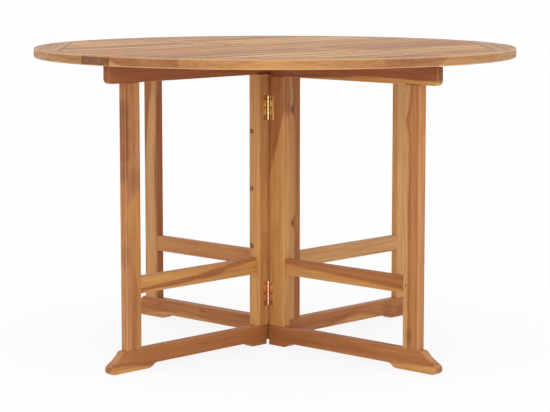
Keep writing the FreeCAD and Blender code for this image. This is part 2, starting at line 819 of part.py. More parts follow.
def leaf_hinges():
    """The leaves' back-flap hinges: the board's halves with the pins, then each leaf's halves and screws."""
    board_flaps, pins, board_screw_set = [], [], []
    screw_reach = hinge_screw_x(cell("flap_reach"))
    for side, turned in SIDES.items():
        leaf_flaps, leaf_screws = [], []
        for way in (1, -1):
            start = f"{way} * {FLAP_OFFSET} - {cell('flap_height')} / 2"
            flap = flap_leaf(0, -1)
            place(flap, 0, start, FLAP_AXIS_Y, UNDER_TOP, turned, LAID_INWARDS)
            board_flaps.append(flap)
            pin = hinge_pin(cell("flap_height"))
            place(pin, 0, start, FLAP_AXIS_Y, UNDER_TOP, turned, LAID_OUTWARDS)
            pins.append(pin)
            flap = flap_leaf(1, 1)
            place(flap, 0, start, FLAP_AXIS_Y, UNDER_TOP, turned, LAID_OUTWARDS)
            leaf_flaps.append(flap)
            for along in FLAP_SCREWS:
                screw_x = f"{start} + {along}"
                for outwards, screws in ((-1, board_screw_set), (1, leaf_screws)):
                    body = screw(cell("screw_length"))
                    screw_y = f"{FLAP_AXIS_Y} + {outwards} * {screw_reach}"
                    place(body, 0, screw_x, screw_y, UNDER_TOP, turned, SCREWED_UP)
                    screws.append(body)
        group(f"leaf_{side}_hinge_flaps", leaf_flaps)
        group(f"leaf_{side}_screws", leaf_screws + rest_block_screws(turned))
    group("leaf_hinge_board_flaps", board_flaps)
    group("leaf_hinge_pins", pins)
    group("leaf_hinge_board_screws", board_screw_set)


def groove(body, points):
    """A groove in the middle of a top piece's thickness, over the given outline."""
    return add_pocket(body, add_outline(body, "XY_Plane", points, TONGUE_HIGH), cell("tongue_thickness"))


GROOVE_DEPTH = f"({cell('tongue_length')} + {cell('groove_room')})"
GROOVE_APOTHEM = f"({RIM_APOTHEM} + {GROOVE_DEPTH})"
TONGUE_APOTHEM = f"({RIM_APOTHEM} + {cell('tongue_length')})"
MIDDLE_TONGUE_EDGE = f"({MIDDLE_RAIL_EDGE} - {GROOVE_DEPTH})"


def rim_segment(label, angle, turned):
    """A full eighth of the rim, drawn about +Y: straight inside, round outside, mitred ends."""
    body = new_body(label)
    inner = f"{RIM_APOTHEM} * tan({HALF_SEGMENT})"
    outer_x = f"{TOP_RADIUS} * sin({HALF_SEGMENT})"
    outer_y = f"{TOP_RADIUS} * cos({HALF_SEGMENT})"
    points = [
        (minus(inner), RIM_APOTHEM),
        (inner, RIM_APOTHEM),
        (outer_x, outer_y, TOP_RADIUS, 1),
        (minus(outer_x), outer_y),
    ]
    pad = add_pad(body, add_outline(body, "XY_Plane", points, UNDER_TOP), cell("top_thickness"))
    ease_flat_piece(body, pad)
    deep = f"{GROOVE_APOTHEM} * tan({HALF_SEGMENT})"
    groove(
        body,
        [
            (minus(inner), RIM_APOTHEM),
            (inner, RIM_APOTHEM),
            (deep, GROOVE_APOTHEM),
            (minus(deep), GROOVE_APOTHEM),
        ],
    )
    place(body, angle, turned=turned)
    return keep(body)


def rim_end(label, way, turned):
    """A rim segment that the centre board cuts, at the leaf's end towards way * x."""
    body = new_body(label)
    inside = f"{way} * {RIM_APOTHEM}"
    points = [
        (inside, LEAF_EDGE),
        (f"{way} * {rim_corner_x(LEAF_EDGE)}", LEAF_EDGE, TOP_RADIUS, way),
        (f"{way} * {TOP_RADIUS} * cos({HALF_SEGMENT})", f"{TOP_RADIUS} * sin({HALF_SEGMENT})"),
        (inside, f"{RIM_APOTHEM} * tan({HALF_SEGMENT})"),
    ]
    pad = add_pad(body, add_outline(body, "XY_Plane", points, UNDER_TOP), cell("top_thickness"))
    ease_flat_piece(body, pad)
    deep = f"{way} * {GROOVE_APOTHEM}"
    groove(
        body,
        [
            (inside, LEAF_EDGE),
            (deep, LEAF_EDGE),
            (deep, f"{GROOVE_APOTHEM} * tan({HALF_SEGMENT})"),
            (inside, f"{RIM_APOTHEM} * tan({HALF_SEGMENT})"),
        ],
    )
    place(body, turned=turned)
    return keep(body)


def strip_outline(way, inner_x, low, high, apothem):
    """A slat's outline between the middle rail and the rim's eight-sided inside, towards way * x."""
    corner = f"{apothem} * tan({HALF_SEGMENT})"
    slope_x = f"{apothem} / cos({RIM_SEGMENT_ANGLE}) - "
    end_low = f"min({apothem}; {slope_x}({low}))"
    end_high = f"min({apothem}; {slope_x}({high}))"
    points = [(inner_x, low), (f"{way} * {end_low}", low)]
    if value(low) < value(corner) < value(high):
        points.append((f"{way} * {apothem}", corner))
    return points + [(f"{way} * {end_high}", high), (inner_x, high)]


def flat_strip(body, outline, tongue_outline):
    """A slat or rail of the top, with a tongue round its ends in the middle of its thickness."""
    pad = add_pad(body, add_outline(body, "XY_Plane", outline, UNDER_TOP), cell("top_thickness"))
    ease(body, pad, cell("arris"), lies_flat)
    add_pad(body, add_outline(body, "XY_Plane", tongue_outline, TONGUE_LOW), cell("tongue_thickness"))
    return body


def slats(side, way, name):
    """The slats of one leaf on one side of its middle rail."""
    bodies = []
    for number in range(1, STRIP_COUNT):
        low = f"({LEAF_EDGE} + {number} * {STRIP_PITCH})"
        high = f"({low} + {STRIP_WIDTH})"
        inner_x = f"{way} * {MIDDLE_RAIL_EDGE}"
        tongue_x = f"{way} * ({MIDDLE_RAIL_EDGE} - {cell('tongue_length')})"
        body = flat_strip(
            new_body("slat"),
            strip_outline(way, inner_x, low, high, RIM_APOTHEM),
            strip_outline(way, tongue_x, low, high, TONGUE_APOTHEM),
        )
        place(body, turned=SIDES[side])
        bodies.append(body)
    return group(f"leaf_{side}_slats_{name}", bodies)


def rectangle(x_span, y_span):
    return [
        (x_span[0], y_span[0]),
        (x_span[1], y_span[0]),
        (x_span[1], y_span[1]),
        (x_span[0], y_span[1]),
    ]


def hinge_rail(side):
    """The leaf's strip beside the centre board, from rim to rim, with the hinges let into its underside."""
    y_span = (LEAF_EDGE, HINGE_RAIL_EDGE)
    body = flat_strip(
        new_body(f"leaf_{side}_hinge_rail"),
        rectangle((minus(RIM_APOTHEM), RIM_APOTHEM), y_span),
        rectangle((minus(TONGUE_APOTHEM), TONGUE_APOTHEM), y_span),
    )
    for recess in hinge_recesses(1):
        mortise(body, recess)
    socket_edge = f"({MIDDLE_TONGUE_EDGE} + {cell('groove_room')})"
    socket_y = (f"{HINGE_RAIL_EDGE} - {GROOVE_DEPTH}", HINGE_RAIL_EDGE)
    groove(body, rectangle((minus(socket_edge), socket_edge), socket_y))
    place(body, turned=SIDES[side])
    return keep(body)


def middle_rail(side):
    """The leaf's cross rail, from the hinge rail to the rim, grooved along both edges for the slats."""
    tongue_y = (f"{HINGE_RAIL_EDGE} - {cell('tongue_length')}", TONGUE_APOTHEM)
    body = flat_strip(
        new_body(f"leaf_{side}_middle_rail"),
        rectangle((minus(MIDDLE_RAIL_EDGE), MIDDLE_RAIL_EDGE), (HINGE_RAIL_EDGE, RIM_APOTHEM)),
        rectangle((minus(MIDDLE_TONGUE_EDGE), MIDDLE_TONGUE_EDGE), tongue_y),
    )
    for way in (1, -1):
        bottom = f"{way} * {MIDDLE_TONGUE_EDGE}"
        edge = f"{way} * {MIDDLE_RAIL_EDGE}"
        groove(body, rectangle((bottom, edge), (HINGE_RAIL_EDGE, RIM_APOTHEM)))
    place(body, turned=SIDES[side])
    return keep(body)


# The gate's top rail, as the leaf above it sees it: its faces towards and away from the fold
GATE_RAIL_NEAR = f"({GATE_MIDDLE_X} - {cell('rail_thickness')} / 2)"
REST_UNDER = f"({GATE_RAIL_TOP} + {cell('rest_gap')})"
REST_START = f"({from_rim('rest_block_setback')} - {cell('rest_block_length')})"
REST_LIP_OUTER = f"({GATE_RAIL_NEAR} - {cell('rest_gap')} - {cell('rest_lip_width')})"


def rest_block(side):
    """The block that sits on the gate's top rail, with a lip beside it that stops the opening gate."""
    body = new_body(f"leaf_{side}_rest_block")
    y_span = (REST_START, from_rim("rest_block_setback"))
    add_box(body, ((REST_LIP_OUTER, MIDDLE_RAIL_EDGE), y_span, (REST_UNDER, UNDER_TOP)))
    lip_x = (REST_LIP_OUTER, f"{REST_LIP_OUTER} + {cell('rest_lip_width')}")
    add_box(body, (lip_x, y_span, (f"{REST_UNDER} - {cell('rest_lip_depth')}", REST_UNDER)))
    place(body, turned=SIDES[side])
    return keep(body)


def rest_block_screws(turned):
    """Two screws up through each rest block into the middle rail."""
    screws = []
    for share in REST_SCREW_SHARES:
        body = screw(cell("screw_length"))
        y = f"{REST_START} + {share} * {cell('rest_block_length')}"
        place(body, 0, half(f"{REST_LIP_OUTER} + {MIDDLE_RAIL_EDGE}"), y, REST_UNDER, turned, SCREWED_UP)
        screws.append(body)
    return screws


def leaf(side):
    turned = SIDES[side]
    rim_end(f"leaf_{side}_rim_1", 1, turned)
    for number, angle in enumerate((-RIM_SEGMENT_ANGLE, 0, RIM_SEGMENT_ANGLE), start=2):
        rim_segment(f"leaf_{side}_rim_{number}", angle, turned)
    rim_end(f"leaf_{side}_rim_5", -1, turned)
    hinge_rail(side)
    middle_rail(side)
    slats(side, 1, "right")
    slats(side, -1, "left")
    rest_block(side)


def centre_frame():
    frame_foot()
    frame_top_rail()
    middle_post()
    for side in SIDES:
        end_post(side)
        hinge_post(side)
        frame_stretcher(side)
    post_plugs()
    post_screws()
    centre_board()
    board_screws()


def check_document():
    """Stop if any object failed or any sub-part isn't a valid shape."""
    doc.recompute()
    for item in doc.Objects:
        if {"Invalid", "Error"} & set(item.State):
            raise RuntimeError(f"{item.Label}: {item.State}")
    for sub_part in sub_parts:
        if sub_part.Shape.isNull() or not sub_part.Shape.isValid():
            raise RuntimeError(f"{sub_part.Label}: the shape is not valid")


def export():
    os.makedirs("parts", exist_ok=True)
    for sub_part in sub_parts:
        sub_part.Shape.exportStep(f"parts/{sub_part.Label}.step")


def main():
    centre_frame()
    for side in SIDES:
        gate(side)
        leaf(side)
    gate_hinges()
    leaf_hinges()
    check_document()
    export()


main()
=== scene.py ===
"""Looks of a round folding table: oiled teak boards, brass hinges and a pale studio floor."""
import json
import math
import random
from collections import namedtuple

import bpy
from mathutils import Matrix, Vector

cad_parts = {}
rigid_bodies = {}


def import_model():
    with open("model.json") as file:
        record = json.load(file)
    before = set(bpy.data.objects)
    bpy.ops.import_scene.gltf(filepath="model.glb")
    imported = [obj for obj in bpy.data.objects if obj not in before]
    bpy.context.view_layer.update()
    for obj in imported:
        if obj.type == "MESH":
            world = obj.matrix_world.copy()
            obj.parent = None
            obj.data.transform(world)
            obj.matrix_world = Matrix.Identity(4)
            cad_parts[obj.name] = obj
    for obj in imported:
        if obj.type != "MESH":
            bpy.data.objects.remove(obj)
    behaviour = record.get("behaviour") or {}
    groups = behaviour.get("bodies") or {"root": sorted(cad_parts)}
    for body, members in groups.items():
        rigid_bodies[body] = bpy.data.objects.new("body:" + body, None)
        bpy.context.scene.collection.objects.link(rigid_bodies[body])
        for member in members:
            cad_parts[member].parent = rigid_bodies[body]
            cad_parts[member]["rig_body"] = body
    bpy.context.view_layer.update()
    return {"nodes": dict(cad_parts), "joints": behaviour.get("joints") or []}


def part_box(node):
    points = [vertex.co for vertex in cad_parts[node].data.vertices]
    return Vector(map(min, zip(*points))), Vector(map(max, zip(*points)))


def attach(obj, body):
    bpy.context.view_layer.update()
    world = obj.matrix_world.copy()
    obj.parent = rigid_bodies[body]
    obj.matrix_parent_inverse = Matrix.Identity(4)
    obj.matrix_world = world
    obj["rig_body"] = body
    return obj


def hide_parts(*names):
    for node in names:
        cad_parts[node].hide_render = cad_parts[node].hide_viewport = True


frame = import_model()

# Camera, from the photograph: degrees and metres, and the focal length in pixels of a 550-pixel width
VIEW_AZIMUTH = -46.56
VIEW_DISTANCE = 4.967
VIEW_HEIGHT = 0.9943
VIEW_PITCH = 7.428
FOCAL_PIXELS = 1980.5
IMAGE_WIDTH = 550
SENSOR_WIDTH = 36

# Studio: metres, watts and shares
WHITE = (1, 1, 1, 1)
WORLD_LIGHT = 1.0
FLOOR_TONE = (0.95, 0.95, 0.95, 1)
FLOOR_ROUGHNESS = 0.9
FLOOR_WIDTH = 60
FLOOR_DROP = 0.0005
FLOOR_WHITE_SHARE = 0.86
LAMP_AIM = (0, 0, 0.4)
OVERHEAD_LAMP = {"location": (-0.6, -0.8, 3.2), "size": 2.6, "power": 6}
FRONT_LAMP = {"location": (-3.2, -3.0, 1.5), "size": 2.5, "power": 44}

# Directions, and the ways that the grain of a board runs
LEFT, RIGHT = (-1, 0, 0), (1, 0, 0)
FRONT, BACK = (0, -1, 0), (0, 1, 0)
DOWN, UP = (0, 0, -1), (0, 0, 1)
ALONG_X, ALONG_Y, UPRIGHT = RIGHT, BACK, UP

# Tones of oiled teak as a screen shows them, red, green and blue from 0 to 255
HEART_RED = (164, 100, 60)
HEART_BROWN = (176, 116, 65)
HEART_HONEY = (188, 130, 76)
POST_HONEY = (203, 147, 94)
POST_BROWN = (198, 142, 92)
FOOT_BROWN = (184, 122, 70)
SAP_PALE = (214, 164, 100)
SAP_GOLD = (200, 146, 84)
SAP_TAN = (200, 150, 96)
TOP_UMBER = (172, 114, 62)
TOP_HONEY = (190, 134, 74)
TOP_TAN = (224, 176, 112)
RIM_HONEY = (182, 134, 88)
RIM_BROWN = (160, 110, 72)
RIM_PINK = (166, 116, 80)
RIM_TAN = (182, 136, 88)
RIM_GOLD = (188, 136, 82)
# Arrises: worn pale, with a painted highlight
RUBBED_ARRIS_HIGHLIGHT = (230, 184, 136)
# Painted shade of the gaps between the slats, laid on their arrises
SLAT_GAP_SHADE = (112, 70, 42)

# Share of each colour that a mark of the wood leaves
HEART_CLOUD = (0.76, 0.67, 0.58, 1)
HEART_BLUSH = (0.94, 0.84, 0.9, 1)
HEART_STREAK = (0.78, 0.68, 0.58, 1)
HEART_EDGE = (0.72, 0.62, 0.54, 1)
SAP_STREAK = (0.84, 0.76, 0.66, 1)
SAP_CLOUD = (0.88, 0.84, 0.78, 1)
RING_DARK = (0.68, 0.56, 0.46, 1)
PORE_DARK = (0.74, 0.62, 0.52, 1)
GRAIN_DARK = (0.9, 0.86, 0.82, 1)
GRAIN_PALE = (1.09, 1.12, 1.14, 1)
KNOT_AND_GAP_SHADE = (0.36, 0.25, 0.2, 1)
GLUE_DARK = (0.4, 0.3, 0.24, 1)
END_GRAIN = (0.68, 0.64, 0.68)
RAIL_END = (0.8, 0.86, 0.86)
BOARD_END = (0.46, 0.45, 0.8)

# Sockets of a Mix node that take two colours and give their mix
MIX_FIRST = 6
MIX_SECOND = 7
MIX_RESULT = 2

# Noise: features to the metre along the grain and across it, and how many finer layers lie on them
Spread = namedtuple("Spread", "along across detail")
SLOW_WANDER = Spread(1.7, 8, 2.0)
QUICK_WANDER = Spread(7, 45, 2.0)
RING_WANDER = Spread(1.5, 26, 2.0)
SAP_WAVER = Spread(6, 14, 3.0)
SAP_FRINGE = Spread(4.5, 110, 2.0)
ROLLED_LINES = Spread(1500, 1500, 2.0)
NOISE_MIDDLE = 0.5

# Marks drawn by noise, each between the level where it starts and the level where it is full
Mark = namedtuple("Mark", "spread start full")
CLOUD = Mark(Spread(4.5, 24, 4.0), 0.32, 0.68)
BLUSH = Mark(Spread(9, 40, 2.0), 0.45, 0.7)
STREAK = Mark(Spread(1.3, 80, 4.0), 0.36, 0.66)
GRAIN = Mark(Spread(9, 200, 3.0), 0.3, 0.7)
PORES = Mark(Spread(30, 950, 1.0), 0.55, 0.72)
TARNISH = Mark(Spread(90, 90, 4.0), 0.35, 0.7)

# Growth of the log: metres, years for the rings and shares for the knots
HEART_RADIUS = 0.11
PITH_AWAY = 0.075
SLOW_WANDER_DEPTH = 0.012
QUICK_WANDER_DEPTH = 0.0025
RING_DRIFT = 2.4
LATE_WOOD_START = 0.25
LATE_WOOD_PEAK = 0.9
FAINTEST_RING = 0.2
NO_SAPWOOD = 9.0
SAP_BLUR = 0.004
SAP_FEATHER = 0.016
HEART_MARGIN = 0.016
KNOT_DRAWN_OUT = 0.6
KNOT_CORE = 0.4

# Range of the seeds of the boards, and of the slats in one row
BOARD_SEEDS = 40
STRIP_SEEDS = 60.0

# What tells one board from another: heights are from the floor, other distances from the board's middle
Swelling = namedtuple("Swelling", "at reach depth")
Knot = namedtuple("Knot", "at over size depth")
Stripe = namedtuple("Stripe", "at width")

# Surface of the wood: shares, metres, and how far a face turns to the end or lies between two faces
TOP_SHINE = 0.16
PORE_STRENGTH = 0.4
SATIN = 0.4
STREAK_DULLS = 0.1
PORES_DULL = 0.12
ENDS_DULL = 0.15
RING_RELIEF = -0.35
PORE_RELIEF = -0.65
RELIEF_STRENGTH = 0.35
RELIEF_DEPTH = 0.0005
END_FACING = (0.6, 0.95)
ARRIS_FACING = (1.33, 1.41)

# Top: degrees, metres and shares
RIM_ANGLE = 45
RIM_CHORD = 0.52
# Painted shade of the gap between the rim and the slats: its width and strength
GAP_SHADE_WIDTH = 0.0045
GAP_SHADE_DEPTH = 0.95
SLATS_IN_A_ROW = 6
# Slats and top rails carry painted shade of the gaps between them on their arrises
SLATTED = {"shine": TOP_SHINE, "arris": 0.85, "arris_tone": SLAT_GAP_SHADE}

# Metals: the bright tone, the tarnished one and the roughness
Metal = namedtuple("Metal", "bright deep roughness")
BUTT_BRASS = Metal((236, 200, 132), (218, 170, 100), 0.24)
FLAP_BRASS = Metal((236, 196, 142), (214, 160, 104), 0.24)
PIN_BRASS = Metal((240, 208, 150), (216, 172, 110), 0.15)
SCREW_BRASS = Metal((170, 122, 62), (118, 78, 38), 0.32)
SCREW_STEEL = Metal((176, 176, 178), (140, 140, 144), 0.3)

# Rolled surface of the metals: seeds, shares and metres
ROLLED_UPRIGHT = (1, 1, 0.04)
LINES_SEED = 3.0
TARNISH_SEED = 5.0
TARNISH_DULLS = 0.2
LINES_DULL = 0.12
LINE_STRENGTH = 0.15
LINE_DEPTH = 0.0002

# Colour of the butt hinges: a painted highlight on the barrels' outer side and painted dark reflections on
# their sides, and a coppery tint that sets in between two levels
BARREL_HIGHLIGHT = (255, 238, 196)
BARREL_DARK_REFLECTION = (150, 96, 50)
BARREL_FADE = 1.05
HIGHLIGHT_FACING = (0.6, 0.92)
COPPERY = (0.93, 0.74, 0.84, 1)
COPPERY_LEVELS = (0.5, 0.2)

# Butt hinges of the gates, their screws and the plugs of the posts: metres, degrees and shares
HINGE_HEIGHT = 0.0615
KNUCKLE_COUNT = 6
KNUCKLE_GAP = 0.00015
BARREL_RADIUS = 0.003
BARREL_ROOM = 0.0035
LEAF_REACH = 0.0175
PIN_PROUD = 0.0015
PLATE_THICKNESS = 0.002
METAL_ROUNDING = 0.0003
SCREW_HEAD_RADIUS = 0.0028
SCREW_HEAD_HEIGHT = 0.0014
SCREW_RADIUS = 0.0015
SCREW_LENGTH = 0.015
SCREW_PITCH = 0.0225
SHANK_SHARE = 0.7
TIP_SHARE = 0.1
FACES_DOWN = -0.9
SLOT_TURNS = (20, 65, 140)
SLOT_WIDTH = 0.0007
SLOT_DEPTH = 0.0009
SLOT_OVERRUN = 1.1
PLUG_RADIUS = 0.006
PLUG_FILL = 1.04
PLUG_LENGTH = 0.006
PLUG_OFFSET = 0.008
PLUG_ROUNDING = 0.0006
PLUG_RING_WIDTH = 0.0016
PLUGS_IN_A_POST = 3
GLUE_START = 0.62
GLUE_FULL = 0.85
ROUND_SIDES = 32
ROUNDING_STEPS = 2
SHARP_ANGLE = 60
SMOOTH_ANGLE = 25


def tone(screen):
    """A colour written as a screen shows it, turned by the sRGB curve to the linear values of a shader."""
    return tuple(((part / 255 + 0.055) / 1.055) ** 2.4 for part in screen) + (1,)


def add_node(tree, kind, inputs=None, **options):
    """Adds a node, sets its options, and gives each input a value or another node's output."""
    made = tree.nodes.new("ShaderNode" + kind)
    for option, value in options.items():
        setattr(made, option, value)
    for socket, value in (inputs or {}).items():
        if isinstance(value, bpy.types.NodeSocket):
            tree.links.new(value, made.inputs[socket])
        else:
            made.inputs[socket].default_value = value
    return made


def maths(tree, operation, *values):
    """One step of arithmetic on numbers."""
    return add_node(tree, "Math", dict(enumerate(values)), operation=operation).outputs[0]


def vector_maths(tree, operation, *values):
    """One step of arithmetic on vectors, whose result is a vector."""
    return add_node(tree, "VectorMath", dict(enumerate(values)), operation=operation).outputs[0]


def length_of(tree, vector):
    """Length of a vector."""
    return add_node(tree, "VectorMath", {0: vector}, operation="LENGTH").outputs["Value"]


def parts_of(tree, vector):
    """X, Y and Z of a vector."""
    return add_node(tree, "SeparateXYZ", {0: vector}).outputs


def between(tree, value, start, full):
    """Goes softly from 0 at the start to 1 at the full level, which may be the lower of the two."""
    ends = {"Value": value, "From Min": start, "From Max": full}
    return add_node(tree, "MapRange", ends, interpolation_type="SMOOTHSTEP").outputs["Result"]


def tinted(tree, colour, tint, amount):
    """A colour multiplied by a tint, as far as the amount says."""
    inputs = {"Factor": amount, MIX_FIRST: colour, MIX_SECOND: tint}
    return add_node(tree, "Mix", inputs, data_type="RGBA", blend_type="MULTIPLY").outputs[MIX_RESULT]


def blended(tree, first, second, amount):
    """A colour between two others."""
    inputs = {"Factor": amount, MIX_FIRST: first, MIX_SECOND: second}
    return add_node(tree, "Mix", inputs, data_type="RGBA").outputs[MIX_RESULT]


def drawn_noise(tree, place, seed, spread):
    """Noise drawn out along the grain."""
    drawn = vector_maths(tree, "MULTIPLY", place, (spread.along, spread.across, spread.across))
    inputs = {"Vector": drawn, "W": seed, "Scale": 1.0, "Detail": spread.detail}
    return add_node(tree, "TexNoise", inputs, noise_dimensions="4D")


def mark_of(tree, place, seed, mark, output=0):
    """How strongly a mark shows, from 0 to 1."""
    return between(tree, drawn_noise(tree, place, seed, mark.spread).outputs[output], mark.start, mark.full)


def swaying(tree, place, seed, spread):
    """Noise that sways to both sides of zero."""
    return maths(tree, "SUBTRACT", drawn_noise(tree, place, seed, spread).outputs[0], NOISE_MIDDLE)


def warped(tree, place, seed, spread, depth):
    """Pushes places sideways by slow noise, so that rings wander as they do in a grown log."""
    noise = drawn_noise(tree, place, seed, spread).outputs["Color"]
    push = vector_maths(tree, "SUBTRACT", noise, (NOISE_MIDDLE,) * 3)
    return vector_maths(tree, "ADD", place, vector_maths(tree, "MULTIPLY", push, (0, depth, depth)))


def ring_lines(tree, radius, place, seed, ring_width):
    """Yearly rings: pale early wood that deepens to a dark line, each year of its own strength."""
    drift = maths(tree, "MULTIPLY", drawn_noise(tree, place, seed, RING_WANDER).outputs[0], RING_DRIFT)
    years = maths(tree, "ADD", maths(tree, "DIVIDE", radius, ring_width), drift)
    season = maths(tree, "FRACT", years)
    deepening = between(tree, season, LATE_WOOD_START, LATE_WOOD_PEAK)
    ending = between(tree, season, 1.0, LATE_WOOD_PEAK)
    year = add_node(tree, "TexWhiteNoise", {"W": maths(tree, "FLOOR", years)}, noise_dimensions="1D")
    strength = maths(tree, "MULTIPLY_ADD", year.outputs["Value"], 1 - FAINTEST_RING, FAINTEST_RING)
    return maths(tree, "MULTIPLY", maths(tree, "MULTIPLY", deepening, ending), strength)


def sapwood_of(tree, given, wandering, radius):
    """Shares of sapwood and of the heart's dark margin, along a line that wavers and may run askew."""
    place, seed = given["Place"], given["Seed"]
    along = parts_of(tree, place)["X"]
    edge = maths(tree, "MULTIPLY_ADD", along, given["Sap taper"], given["Sap start"])
    edge = maths(tree, "MAXIMUM", edge, given["Sap least"])
    waver = swaying(tree, place, seed, SAP_WAVER)
    past = maths(tree, "SUBTRACT", maths(tree, "MULTIPLY_ADD", waver, given["Sap wave"], radius), edge)
    fringe = swaying(tree, wandering, seed, SAP_FRINGE)
    past = maths(tree, "MULTIPLY_ADD", fringe, given["Sap feather"], past)
    sapwood = between(tree, past, -SAP_BLUR, SAP_BLUR)
    margin = between(tree, past, -HEART_MARGIN, -SAP_BLUR)

    # A stripe of heart in the sapwood, or of sapwood in the heart, which takes no notice of swellings
    plain_past = maths(tree, "ADD", past, given["Bulge"])
    stripe_off = maths(tree, "ABSOLUTE", maths(tree, "SUBTRACT", plain_past, given["Stripe at"]))
    stripe = between(tree, maths(tree, "SUBTRACT", given["Stripe width"], stripe_off), 0, SAP_BLUR)
    return maths(tree, "ABSOLUTE", maths(tree, "SUBTRACT", sapwood, stripe)), margin


def long_grain(tree, given, wandering, sapwood, margin, streak):
    """Colour of heart and sapwood with their slow shading and their streaks along the grain."""
    figure, seed = given["Figure"], given["Seed"]
    cloud = maths(tree, "MULTIPLY", mark_of(tree, wandering, seed, CLOUD), figure)
    blush = maths(tree, "MULTIPLY", mark_of(tree, wandering, seed, BLUSH, "Color"), figure)
    streaked = maths(tree, "MULTIPLY", streak, figure)
    heart = tinted(tree, given["Heart"], HEART_CLOUD, cloud)
    heart = tinted(tree, heart, HEART_BLUSH, blush)
    heart = tinted(tree, heart, HEART_STREAK, streaked)
    heart = tinted(tree, heart, HEART_EDGE, maths(tree, "MULTIPLY", margin, given["Margin"]))
    sap = tinted(tree, given["Sap"], SAP_STREAK, streaked)
    sap = tinted(tree, sap, SAP_CLOUD, cloud)
    return blended(tree, heart, sap, sapwood)


def teak_sockets(group):
    """What a board tells the wood: its place in the log, its colours and how it grew."""
    kinds = {
        "Place": "Vector", "Facing": "Vector", "Seed": "Float", "Bulge": "Float", "Knot": "Float",
        "Heart": "Color", "Sap": "Color", "End": "Color", "Arris wear and shading tone": "Color", "Arris wear and shading": "Float",
        "Sap start": "Float", "Sap taper": "Float", "Sap least": "Float", "Sap wave": "Float",
        "Sap feather": "Float", "Margin": "Float", "Stripe at": "Float", "Stripe width": "Float",
        "Ring width": "Float", "Ring depth": "Float", "Figure": "Float",
    }
    for name, kind in kinds.items():
        group.interface.new_socket(name, in_out="INPUT", socket_type="NodeSocket" + kind)
    for name, kind in {"Colour": "Color", "Roughness": "Float", "Normal": "Vector"}.items():
        group.interface.new_socket(name, in_out="OUTPUT", socket_type="NodeSocket" + kind)


def grown_teak():
    """Wood as it grows: rings round a pith, sapwood outside the heart, pores, knots and dark end grain, with
    a painted highlight and painted shade on the arrises and painted shade in the rim's gap by the slats.
    """
    tree = bpy.data.node_groups.new("grown_teak", "ShaderNodeTree")
    teak_sockets(tree)
    given = tree.nodes.new("NodeGroupInput").outputs
    place, seed = given["Place"], given["Seed"]
    wandering = warped(tree, place, seed, SLOW_WANDER, SLOW_WANDER_DEPTH)
    wandering = warped(tree, wandering, seed, QUICK_WANDER, QUICK_WANDER_DEPTH)
    across = vector_maths(tree, "MULTIPLY", wandering, (0, 1, 1))
    radius = maths(tree, "SUBTRACT", length_of(tree, across), given["Bulge"])
    rings = ring_lines(tree, radius, place, seed, given["Ring width"])
    sapwood, margin = sapwood_of(tree, given, wandering, radius)
    streak = mark_of(tree, wandering, seed, STREAK)
    pores = mark_of(tree, wandering, seed, PORES)
    grain = mark_of(tree, wandering, seed, GRAIN)
    colour = long_grain(tree, given, wandering, sapwood, margin, streak)
    colour = tinted(tree, colour, RING_DARK, maths(tree, "MULTIPLY", rings, given["Ring depth"]))
    colour = tinted(tree, colour, PORE_DARK, maths(tree, "MULTIPLY", pores, PORE_STRENGTH))
    colour = tinted(tree, colour, blended(tree, GRAIN_DARK, GRAIN_PALE, grain), 1.0)
    # Knots darken the wood; on the rim the same input carries the painted shade of its gap by the slats
    colour = tinted(tree, colour, KNOT_AND_GAP_SHADE, given["Knot"])

    # Sawn ends drink more oil than the long grain
    faces = parts_of(tree, vector_maths(tree, "ABSOLUTE", given["Facing"]))
    end_grain = between(tree, faces["X"], *END_FACING)
    colour = tinted(tree, colour, given["End"], end_grain)

    # Arrises, whose faces lie between the board's own, take the board's arris tone: worn pale with a painted
    # highlight on most boards, dark with painted shade of the gaps on the slats
    tilt = maths(tree, "ADD", faces["X"], maths(tree, "ADD", faces["Y"], faces["Z"]))
    arris = maths(tree, "MULTIPLY", between(tree, tilt, *ARRIS_FACING), given["Arris wear and shading"])
    colour = blended(tree, colour, given["Arris wear and shading tone"], arris)

    roughness = maths(tree, "MULTIPLY_ADD", streak, STREAK_DULLS, SATIN)
    roughness = maths(tree, "MULTIPLY_ADD", pores, PORES_DULL, roughness)
    roughness = maths(tree, "MULTIPLY_ADD", end_grain, ENDS_DULL, roughness)
    relief = maths(tree, "MULTIPLY_ADD", rings, RING_RELIEF, maths(tree, "MULTIPLY", pores, PORE_RELIEF))
    bump = add_node(tree, "Bump", {"Height": relief, "Strength": RELIEF_STRENGTH, "Distance": RELIEF_DEPTH})

    made = tree.nodes.new("NodeGroupOutput").inputs
    for name, output in {"Colour": colour, "Roughness": roughness, "Normal": bump.outputs[0]}.items():
        tree.links.new(output, made[name])
    return tree


def finish_of(name):
    """An empty material with its shader, ready for a finish."""
    material = bpy.data.materials.new(name)
    material.use_nodes = True
    return material, material.node_tree, material.node_tree.nodes["Principled BSDF"]


def bulge_of(tree, place, bulges, start):
    """Sum of the swellings of the heart, such as those beside its knots."""
    along = parts_of(tree, place)["X"]
    total = None
    for at, reach, depth in bulges:
        off = maths(tree, "DIVIDE", maths(tree, "SUBTRACT", along, at - start), reach)
        swell = maths(tree, "EXPONENT", maths(tree, "MULTIPLY", maths(tree, "MULTIPLY", off, off), -1.0))
        part = maths(tree, "MULTIPLY", swell, depth)
        total = part if total is None else maths(tree, "ADD", total, part)
    return total


def knot_of(tree, place, knots, start, pith):
    """Dark eyes of the knots, drawn out along the board."""
    total = None
    for at, over, size, depth in knots:
        off = vector_maths(tree, "SUBTRACT", place, (at - start, over + pith, 0))
        flat = vector_maths(tree, "MULTIPLY", off, (KNOT_DRAWN_OUT / size, 1 / size, 0))
        eye = maths(tree, "MULTIPLY", between(tree, length_of(tree, flat), 1.0, KNOT_CORE), depth)
        total = eye if total is None else maths(tree, "MAXIMUM", total, eye)
    return total


